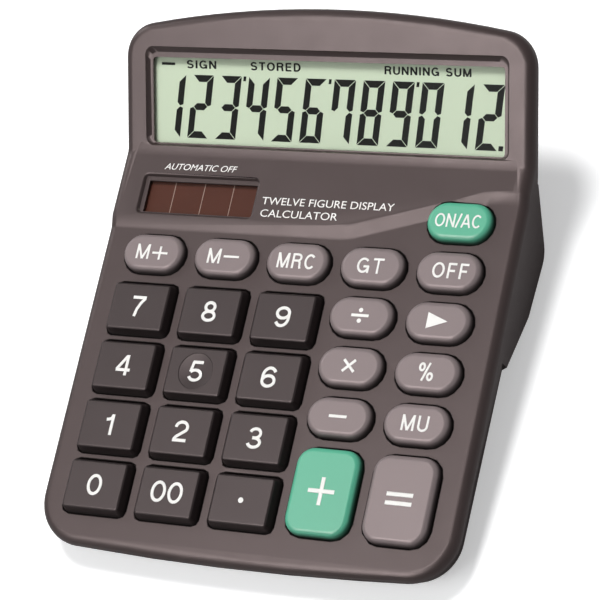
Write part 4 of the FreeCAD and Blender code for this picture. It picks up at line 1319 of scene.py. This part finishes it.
@dataclass
class Display:
    """The liquid-crystal figures and the words over them."""

    head: Plane
    ink: bpy.types.Material
    glass_level: float
    digit_width: float = 6.25
    digit_height: float = 17.1
    digit_low: float = 5.55
    first_left: float = -50.7
    pitch: float = 8.49
    stroke: float = 1.86
    slit: float = 0.12
    lean: float = 0.131
    tick: tuple[float, float, float] = (0.55, 1.35, 1.3)
    dot: tuple[float, float, float] = (0.95, 0.65, 1.3)
    sign: tuple[float, float, float, float] = (-47.7, 1.05, 4.1, 0.7)
    word_height: float = 2.15
    word_low: float = 24.4
    word_weight: float = 0.42
    letters: Lettering = Lettering(0.02, 0.0)

    SEGMENTS = {
        "0": "abcdef", "1": "bc", "2": "abdeg", "3": "abcdg", "4": "bcfg",
        "5": "acdfg", "6": "acdefg", "7": "abcf", "8": "abcdefg", "9": "abcdfg",
    }

    def _segment(self, letter: str) -> Stroke:
        """The outline of one upright segment.

        Args:
            letter: Which segment: a to f clockwise from the top, and g in the middle.

        Returns:
            The corners.
        """
        w, h, t, s = self.digit_width, self.digit_height, self.stroke, self.slit
        m, half = h / 2, t / 2
        top = [(s, h), (w - s, h), (w - t - s, h - t), (t + s, h - t)]
        middle = [
            (half + s, m), (t + s, m + half), (w - t - s, m + half),
            (w - half - s, m), (w - t - s, m - half), (t + s, m - half),
        ]
        upper_left = [(0.0, h - s), (t, h - t - s), (t, m + half + s), (half, m + s), (0.0, m + s + half * 0.4)]
        shapes = {"a": top, "g": middle, "f": upper_left}
        shapes["b"] = [(w - x, y) for x, y in upper_left]
        shapes["e"] = [(x, h - y) for x, y in upper_left]
        shapes["c"] = [(w - x, h - y) for x, y in upper_left]
        shapes["d"] = [(x, h - y) for x, y in top]
        return shapes[letter]

    def _leaning(self, corners: Sequence[Point], x: float, y: float) -> Stroke:
        """Corners that lean with the figures, moved to a place on the glass."""
        return [(x + a + b * self.lean, y + b) for a, b in corners]

    def _set_down(self, item: bpy.types.Object) -> None:
        """Lays a shape on the glass and fixes it to the case."""
        lay(item, self.head, (0.0, 0.0, self.glass_level), self.ink, "case")

    def figures(self, shown: str) -> None:
        """Sets the row of figures, with the marks between thousands and the point.

        Args:
            shown: The figures from left to right.
        """
        for place, figure in enumerate(shown):
            x = self.first_left + place * self.pitch
            shapes = [self._segment(letter) for letter in self.SEGMENTS[figure]]
            outlines = [self._leaning(shape, x, self.digit_low) for shape in shapes]
            self._set_down(self.letters.flat_shape(f"lcd_figure_{place + 1:02d}", outlines))
        marks = []
        left, right, deep = self.tick
        high = self.digit_height
        tick = [(left, high - deep), (right, high - deep), (right, high), (left, high)]
        for place in (2, 5, 8):
            marks.append(self._leaning(tick, self.first_left + place * self.pitch + self.digit_width, self.digit_low))
        gap, middle, side = self.dot
        dot = bar(self.digit_width + gap, middle, side, side)
        marks.append(self._leaning(dot, self.first_left + (len(shown) - 1) * self.pitch, self.digit_low))
        x, rise, width, height = self.sign
        marks.append(bar(x, self.word_low + rise, width, height))
        self._set_down(self.letters.flat_shape("lcd_marks", marks))

    def words(self) -> None:
        """Sets the small function words along the top of the glass."""
        for name, word, left, right in (
            ("lcd_word_sign", "SIGN", -42.1, -33.0),
            ("lcd_word_stored", "STORED", -22.6, -7.6),
            ("lcd_word_sum", "RUNNING SUM", 16.9, 41.7),
        ):
            item = StrokeFace(self.word_weight, self.letters.thickness, 0.2).write(name, word, self.word_height)
            widen(item, right - left)
            item.data.transform(Matrix.Translation(((left + right) / 2, self.word_low + self.word_height / 2, 0.0)))
            self._set_down(item)

    def build(self) -> None:
        """Makes all that the glass shows."""
        self.figures("123456789012")
        self.words()


# Case and studio


@dataclass
class Shell:
    """A moulding carried over from the CAD model, with softened edges."""

    node: str
    body: str
    material: bpy.types.Material
    # The near-black material painted as shade on the well edges and seam chamfers.
    gap: bpy.types.Material
    deck: Plane
    head: Plane
    crease: float
    well_edge: float = 0.3
    seam_edge: float = 0.3
    step_edge: float = 0.45
    painted_shade_reach: tuple[float, float, float, float] = (55.0, -60.0, 36.0, 0.6)
    near: float = 0.03
    join: float = 0.0005
    flat: float = 0.6
    rim_flat: float = 1.0
    rim_inside: float = 55.0
    rim_cut: tuple[float, float, float] = (55.9, -2.7, 0.02)
    cut_reach: float = 0.02
    rim_start: float = 57.4
    rim_radius: float = 2.6
    rim_error: float = 0.45
    deck_error: float = 0.08
    shelf_level: float = 1.15
    shelf_feet: Point = (23.3, 35.1)
    shelf_run: float = 3.3
    step_reach: Point = (18.0, 39.5)
    step_angles: Point = (4.0, 35.0)
    crest_start: float = -13.0
    foot_end: float = 38.0
    well_angle: float = 24.0
    seam_angle: float = 60.0
    seam_sides: tuple[float, float, float] = (58.0, -62.0, 74.0)
    belly: Point = (-9.0, 40.0)
    middle_y: float = 10.0
    slot_end: tuple[Point, Point] = ((28.658, 17.035), (29.148, 16.375))
    slot_draw: Point = (2.248, 1.753)
    slot_near: float = 0.02
    line_near: float = 0.05
    level_from: float = 0.75
    upright_to: float = 0.3

    # The case's height along it, beside the shelf and on it, where the head begins
    HEAD_BLEND = ((41.71, 0.0), (42.71, 0.06), (43.69, 0.25), (44.64, 0.55), (45.54, 0.98), (47.64, 2.12))
    SHELF_BLEND = (
        (43.82, 1.15), (44.17, 1.16), (44.55, 1.18), (45.28, 1.28), (46.03, 1.46), (46.82, 1.73), (47.64, 2.12),
    )

    def __post_init__(self) -> None:
        """Works out how to get from the object to the deck's plane and back."""
        self.there = self.deck.matrix()
        self.back = self.there.inverted()

    @staticmethod
    def _along(line: Sequence[Point], y: float) -> float:
        """The height of a line of points at one place along the case.

        Args:
            line: The points, by place and height.
            y: The place.

        Returns:
            The height there.
        """
        if y <= line[0][0]:
            return line[0][1]
        for (y0, z0), (y1, z1) in zip(line, line[1:]):
            if y <= y1:
                return z0 + (z1 - z0) * (y - y0) / (y1 - y0)
        return line[-1][1]

    def _widen_shelf(self, work: Shaper) -> None:
        """Carries the shelf's top and front slope on over the rounded rims of the case.

        Args:
            work: The shaper that has the case in edit mode.
        """
        for side, foot in zip((-1, 1), self.shelf_feet):
            for y in (foot, foot + self.shelf_run):
                work.pick_faces(partial(self._on_rim, side=side))
                cut = self.deck.point(0.0, y, 0.0)
                bpy.ops.mesh.bisect(plane_co=cut, plane_no=self.deck.along, threshold=self.cut_reach * MM)
        mesh = bmesh.from_edit_mesh(work.item.data)
        for corner in mesh.verts:
            spot = self.back @ corner.co
            foot = self.shelf_feet[spot.x > 0]
            if abs(spot.x) < self.rim_inside or not foot < spot.y < self.HEAD_BLEND[-1][0]:
                continue
            out = max(0.0, abs(spot.x) - self.rim_start)
            ground = self._along(self.HEAD_BLEND, spot.y)
            drop = self.rim_radius - math.sqrt(max(0.0, self.rim_radius**2 - out**2))
            if abs(spot.z - (ground - drop)) > (self.rim_error if out else self.deck_error):
                continue
            share = min(1.0, (spot.y - foot) / self.shelf_run)
            spot.z += share * (self._along(self.SHELF_BLEND, spot.y) - ground)
            corner.co = self.there @ spot
        bmesh.update_edit_mesh(work.item.data)
        mesh.normal_update()

    def _on_rim(self, face: bmesh.types.BMFace, side: int) -> bool:
        """Whether a face belongs to the top of the rounded rim on one side.

        Args:
            face: The face.
            side: -1 for the left side and 1 for the right.

        Returns:
            True where it does.
        """
        out, low, up = self.rim_cut
        spots = [self.back @ corner.co for corner in face.verts]
        return all(spot.x * side > out and spot.z > low for spot in spots) and face.normal.dot(self.deck.out) > up

    def _close_slot(self, work: Shaper) -> None:
        """Draws the blind end of the slot between wall and head out to the wall's edge, on both sides.

        Args:
            work: The shaper that has the case in edit mode.
        """
        mesh = bmesh.from_edit_mesh(work.item.data)
        for corner in mesh.verts:
            spot = corner.co / MM
            if any(math.hypot(spot.y - y, spot.z - z) < self.slot_near for y, z in self.slot_end):
                corner.co = Vector((spot.x, spot.y + self.slot_draw[0], spot.z + self.slot_draw[1])) * MM
        bmesh.update_edit_mesh(work.item.data)
        mesh.normal_update()

    def _level_edge(self, edge: bmesh.types.BMEdge, plane: Plane, height: float) -> bool:
        """Whether an edge is a sharp edge that runs level with a plane.

        Args:
            edge: The edge.
            plane: The plane.
            height: How far over the plane the edge runs.

        Returns:
            True where it is.
        """
        if not edge.is_manifold or edge.calc_face_angle() < math.radians(self.well_angle):
            return False
        back = plane.matrix().inverted()
        return all(abs((back @ corner.co).z - height) < self.near for corner in edge.verts)

    def _well_edge(self, edge: bmesh.types.BMEdge) -> bool:
        """Whether an edge is the upper edge of a key's well or of the solar cell's recess.

        Args:
            edge: The edge.

        Returns:
            True where it is.
        """
        if max(abs(corner.co.x) for corner in edge.verts) > self.rim_inside * MM:
            return False
        return any(self._level_edge(edge, self.deck, height) for height in (0.0, self.shelf_level))

    def _frame_edge(self, edge: bmesh.types.BMEdge) -> bool:
        """Whether an edge is the upper edge of the display's recess."""
        return self._level_edge(edge, self.head, 0.0)

    def _step_edge(self, edge: bmesh.types.BMEdge) -> bool:
        """Whether an edge is the step's foot or crest, clear of the solar recess and the last well.

        Args:
            edge: The edge.

        Returns:
            True where it is.
        """
        low, high = (math.radians(angle) for angle in self.step_angles)
        if not edge.is_manifold or not low < edge.calc_face_angle() < high:
            return False
        ends = [self.back @ corner.co for corner in edge.verts]
        if min(abs(end.x) for end in ends) > self.rim_start - self.near:
            right = ends[0].x > 0
            line = self.shelf_feet[right] + (self.shelf_run if right else 0.0)
            return all(abs(end.y - line) < self.line_near for end in ends)
        if any(not self.step_reach[0] < end.y < self.step_reach[1] for end in ends):
            return False
        crest, foot = (all(abs(end.z - z) < self.near for end in ends) for z in (self.shelf_level, 0.0))
        clear = min(end.x for end in ends) > self.crest_start
        return crest and clear or foot and max(end.x for end in ends) < self.foot_end

    def _seam_edge(self, edge: bmesh.types.BMEdge) -> bool:
        """Whether an edge is the outer edge of the joint between the two mouldings.

        Args:
            edge: The edge.

        Returns:
            True where it is.
        """
        if not edge.is_manifold or edge.calc_face_angle() < math.radians(self.seam_angle):
            return False
        middle = self.back @ ((edge.verts[0].co + edge.verts[1].co) / 2)
        side, front, rear = self.seam_sides
        outer = abs(middle.x) > side or middle.y < front or middle.y > rear
        if not outer or middle.z < self.belly[0] and middle.y < self.belly[1]:
            return False
        outwards = Vector((middle.x, middle.y - self.middle_y, 0.0))
        turn = self.back.to_3x3().normalized()
        normals = [turn @ face.normal for face in edge.link_faces]
        flat = any(abs(normal.z) > self.level_from for normal in normals)
        return flat and any(abs(normal.z) < self.upright_to and normal.dot(outwards) > 0 for normal in normals)

    def _soften(self, work: Shaper, test: Callable[[bmesh.types.BMEdge], bool], width: float, steps: int) -> None:
        """Bevels the edges that pass a test, and gives the new faces round the key wells and along the seam a painted
        shade, the near-black gap material.

        Args:
            work: The shaper that has the case in edit mode.
            test: Which edges it takes.
            width: The bevel's width.
            steps: How many faces the bevel has across.
        """
        work.pick_edges(test)
        free = test in (self._well_edge, self._step_edge)
        bpy.ops.mesh.bevel(offset=width * MM, segments=steps, affect="EDGES", clamp_overlap=not free)
        if test not in (self._well_edge, self._seam_edge) or self.node != "upper_case":
            return
        # Painted shade: bevel faces of the wells within reach, and of the seam, take the dark gap material.
        side, front, rear, top = self.painted_shade_reach
        for face in bmesh.from_edit_mesh(work.item.data).faces:
            spot = self.back @ face.calc_center_median()
            inside = abs(spot.x) < side and front < spot.y < rear and spot.z < top
            if face.select and (inside or test == self._seam_edge):
                face.material_index = 1

    def build(self) -> None:
        """Copies the node's mesh, joins its triangles, softens its edges and puts it in its place."""
        shell = copy_of(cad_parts[self.node], f"{self.node}_moulding")
        shell.parent = None
        shell.matrix_world = Matrix.Identity(4)
        for key in list(shell.keys()):
            del shell[key]
        shell.hide_render = False
        work = Shaper(shell)
        bpy.ops.mesh.select_all(action="SELECT")
        bpy.ops.mesh.remove_doubles(threshold=self.join * MM)
        bpy.ops.mesh.select_all(action="SELECT")
        bpy.ops.mesh.dissolve_limited(angle_limit=math.radians(self.flat))
        if self.node == "upper_case":
            self._widen_shelf(work)
            bpy.ops.mesh.select_all(action="SELECT")
            bpy.ops.mesh.dissolve_limited(angle_limit=math.radians(self.rim_flat))
        if self.node == "lower_case":
            self._close_slot(work)
        self._soften(work, self._step_edge, self.step_edge, 3)
        self._soften(work, self._well_edge, self.well_edge, 2)
        self._soften(work, self._frame_edge, self.well_edge, 2)
        self._soften(work, self._seam_edge, self.seam_edge, 2)
        bpy.ops.object.mode_set(mode="OBJECT")
        # Faces marked for painted shade get the dark gap material below.
        dark = [face.index for face in shell.data.polygons if face.material_index]
        smooth(shell, self.crease)
        dress(shell, self.material)
        if dark:
            shell.data.materials.append(self.gap)
            for index in dark:
                shell.data.polygons[index].material_index = 1
        seat(shell, self.body, [self.node])


@dataclass
class Shelf:
    """The generic words on the low shelf over the keys."""

    deck: Plane
    ink: bpy.types.Material
    height: float = 1.15
    letters: Lettering = Lettering()

    def build(self) -> None:
        """Sets the words over the solar cell and beside it."""
        for name, words, left, right, low, height, lean in (
            ("shelf_words_over_cell", "AUTOMATIC OFF", -46.3, -24.2, 40.1, 1.75, 0.25),
            ("shelf_words_upper", "TWELVE FIGURE DISPLAY", -14.6, 24.0, 31.5, 2.05, 0.0),
            ("shelf_words_lower", "CALCULATOR", -14.3, 8.4, 28.0, 2.05, 0.0),
        ):
            item = self.letters.flat_text(name, words, height, lean=lean)
            widen(item, right - left)
            lay(item, self.deck, ((left + right) / 2, low + height / 2, self.height), self.ink, "case")


class LampRole(Enum):
    """What a lamp is for."""

    FILL = "diffuse light and shadows"
    SHEEN = "reflections on the plastic"


@dataclass(frozen=True)
class Lamp:
    """One soft square lamp: its place and side in metres, and its power in watts."""

    name: str
    place: tuple[float, float, float]
    size: float
    power: float
    role: LampRole
    target: tuple[float, float, float] = (0.0, 0.0, 0.03)

    def build(self) -> None:
        """Hangs the lamp, pointed at the middle of the case."""
        data = bpy.data.lights.new(self.name, "AREA")
        data.size = self.size
        data.energy = self.power
        item = bpy.data.objects.new(self.name, data)
        bpy.context.collection.objects.link(item)
        item.location = self.place
        item.rotation_mode = "QUATERNION"
        item.rotation_quaternion = (Vector(self.place) - Vector(self.target)).to_track_quat("Z", "Y")
        item.visible_glossy = self.role is LampRole.SHEEN
        item.visible_diffuse = self.role is LampRole.FILL


@dataclass
class Studio:
    """Camera, lamps and floor."""

    deck: Plane
    spot: tuple[float, float, float] = (352.5, -221.8, 658.8)
    right: tuple[float, float, float] = (0.891, 0.212, -0.400)
    forward: tuple[float, float, float] = (-0.449, 0.292, -0.845)
    lens: float = 180.0
    sensor: float = 36.0
    clip: Point = (0.05, 20.0)
    floor_size: float = 6.0
    floor_gap: float = 0.00003
    room_tint: Colour = (0.95, 0.97, 1.0, 1.0)
    room_light: float = 0.25

    LAMPS = (
        Lamp("main", (-0.15, 0.4, 1.09), 0.32, 10.8, LampRole.FILL),
        Lamp("fill_in_front", (-0.46, -0.6, 0.72), 0.64, 4.1, LampRole.FILL),
        Lamp("sheen_over_deck", (-0.27, -0.12, 1.0), 0.36, 3.3, LampRole.SHEEN),
        Lamp("sheen_on_slopes", (-0.38, -0.38, 0.88), 0.3, 3.0, LampRole.SHEEN),
        Lamp("sheen_on_head", (-0.26, -0.68, 0.74), 0.36, 5.0, LampRole.SHEEN),
        Lamp("edge_light", (-0.95, 0.45, 0.6), 0.4, 3.0, LampRole.SHEEN),
    )

    def camera(self) -> None:
        """Sets the camera where the photograph was taken from."""
        data = bpy.data.cameras.new("camera")
        data.lens = self.lens
        data.sensor_width = self.sensor
        data.clip_start, data.clip_end = self.clip
        camera = bpy.data.objects.new("camera", data)
        bpy.context.collection.objects.link(camera)
        turn = self.deck.matrix().to_3x3() * (1 / MM)
        back = (turn @ -Vector(self.forward)).normalized()
        side = (turn @ Vector(self.right)).normalized()
        side = (side - back * side.dot(back)).normalized()
        up = back.cross(side)
        rotation = Matrix((side, up, back)).transposed().to_4x4()
        camera.matrix_world = Matrix.Translation(self.deck.point(*self.spot)) @ rotation
        bpy.context.scene.camera = camera

    def floor(self) -> None:
        """Lays the white floor."""
        only()
        bpy.ops.mesh.primitive_plane_add(size=self.floor_size, location=(0.0, 0.0, -self.floor_gap))
        floor = bpy.context.object
        floor.name = "floor"
        dress(floor, StudioFloor("white_paper", (0.95, 0.95, 0.95, 1.0), (0.45, 0.45, 0.45, 1.0), 0.4).build())

    def world(self) -> None:
        """A pale room, white where the camera looks past the floor."""
        bench = Bench("pale_room", world=True)
        seen = bench.amount("ShaderNodeLightPath", "Is Camera Ray")
        plain = bench.node("ShaderNodeBackground", inputs={"Color": self.room_tint, "Strength": self.room_light})
        white = bench.node("ShaderNodeBackground")
        mix = bench.node("ShaderNodeMixShader", inputs={0: seen, 1: plain.outputs[0], 2: white.outputs[0]})
        bpy.context.scene.world = bench.surface(mix)

    def build(self) -> None:
        """Sets up the whole studio."""
        bpy.context.scene.view_settings.view_transform = "Standard"
        self.camera()
        self.floor()
        self.world()
        for lamp in self.LAMPS:
            lamp.build()


Finish = (
    MouldedPlastic | ClearWindow | LiquidCrystalGlass | SolarFilm | CircuitBoard | BareMetal | BatteryJacket
    | BandedResistor
)


def kept_nodes() -> list[tuple[Finish, tuple[str, ...]]]:
    """The finishes of the CAD nodes that keep their shape, each with its nodes.

    Returns:
        Pairs of a finish and the names of its nodes.
    """
    glass_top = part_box("lcd_front_glass")[1].z
    cell_low, cell_high = (corner.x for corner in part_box("battery_cell"))
    body_low, body_high = (corner.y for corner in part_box("resistors"))
    dividers = (-0.0428, -0.0338, -0.0250)
    jacket = (linear(44, 48, 54), linear(176, 120, 52))
    # The glass's own tone and the tone of its painted shadow at the top edge.
    glass = (linear(219, 229, 205), linear(166, 174, 154))
    return [
        (ClearWindow("clear_window", (0.97, 0.98, 0.97, 1.0)), ("display_window", "solar_window")),
        (LiquidCrystalGlass("lcd_glass", *glass, glass_top, 0.003), ("lcd_front_glass", "lcd_rear_glass")),
        (MouldedPlastic("black_plastic", linear(28, 27, 27), 0.5), ("lcd_holder",)),
        (MouldedPlastic("ribbon_film", linear(196, 150, 92), 0.35, 0.0002, 0.000004), ("lcd_ribbon",)),
        (SolarFilm("solar_film", linear(85, 48, 38), linear(176, 150, 140), dividers, 0.00022), ("solar_cell",)),
        (MouldedPlastic("grey_foam", linear(70, 70, 72), 0.9, 0.0006, 0.0001), ("solar_pad",)),
        (MouldedPlastic("red_lead", linear(150, 30, 26), 0.35, 0.0004, 0.000006), ("solar_leads",)),
        (MouldedPlastic("silicone_mat", linear(150, 150, 146), 0.6, 0.0004, 0.00001), ("key_mat",)),
        (CircuitBoard("green_board", linear(28, 78, 42), linear(70, 120, 60)), ("main_board",)),
        (MouldedPlastic("black_epoxy", linear(20, 20, 22), 0.3, 0.001, 0.00002), ("chip_cover",)),
        (MouldedPlastic("blue_sleeve", linear(30, 44, 96), 0.3, 0.0004, 0.000004), ("capacitor",)),
        (BandedResistor("resistor_lacquer", body_low, body_high - body_low, linear(205, 178, 132)), ("resistors",)),
        (BareMetal("zinc_steel", linear(190, 190, 186), 0.32), ("board_screws", "case_screws")),
        (BareMetal("nickel_plate", linear(200, 194, 180), 0.25), ("battery_contact", "battery_spring")),
        (MouldedPlastic("foot_rubber", linear(46, 44, 44), 0.8, 0.0005, 0.00003), ("rubber_feet",)),
        (BatteryJacket("cell_jacket", cell_low, cell_high, cell_low + 0.012, *jacket), ("battery_cell",)),
    ]


def main() -> None:
    """Builds the studio and the calculator in order."""
    logging.basicConfig(level=logging.INFO)
    deck = deck_plane()
    Studio(deck).build()
    head = deck.tilted(43.75, 28.6)
    grey = MouldedPlastic("case_grey_plastic", linear(56, 47, 46), 0.4).build()
    white_ink = PrintedInk("white_print", linear(238, 236, 232)).build()
    black_ink = PrintedInk("liquid_crystal_black", linear(24, 24, 22), 0.6, 0.1).build()
    # Painted shade for the gaps round the keys and along the seam between the mouldings.
    gap = MouldedPlastic("painted_gap_shade", linear(18, 14, 14), 0.75, specular=0.2).build()
    Shell("upper_case", "case", grey, gap, deck, head, 32.0).build()
    Shell("lower_case", "case", grey, gap, deck, head, 15.0).build()
    Shell("battery_door", "door", grey, gap, deck, head, 15.0).build()
    plastics = {}
    for tone, name, colour, rough, cloud, painted_shade_height in (
        (KeyTone.DARK, "dark_key_plastic", (33, 28, 28), 0.42, 0.05, 0.0009),
        (KeyTone.LIGHT, "light_key_plastic", (122, 111, 111), 0.4, 0.04, 0.0019),
        (KeyTone.GREEN, "green_key_plastic", (82, 170, 139), 0.38, 0.04, 0.0016),
    ):
        # Each key plastic gets painted shade on its walls, up to its painted-shade height above the deck.
        foot = {"foot": deck.origin, "foot_tilt": DECK_TILT, "painted_shade_height": painted_shade_height}
        plastics[tone] = MouldedPlastic(name, linear(*colour), rough, 0.0003, 0.000006, cloud, **foot).build()
    Keypad(deck, plastics, white_ink).build()
    Display(head, black_ink, head.level("lcd_front_glass")).build()
    Shelf(deck, white_ink).build()
    for finish, nodes in kept_nodes():
        material = finish.build()
        for node in nodes:
            dress(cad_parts[node], material)
            LOG.info("%s keeps its shape and gets %s", node, material.name)


if __name__ == "__main__":
    main()
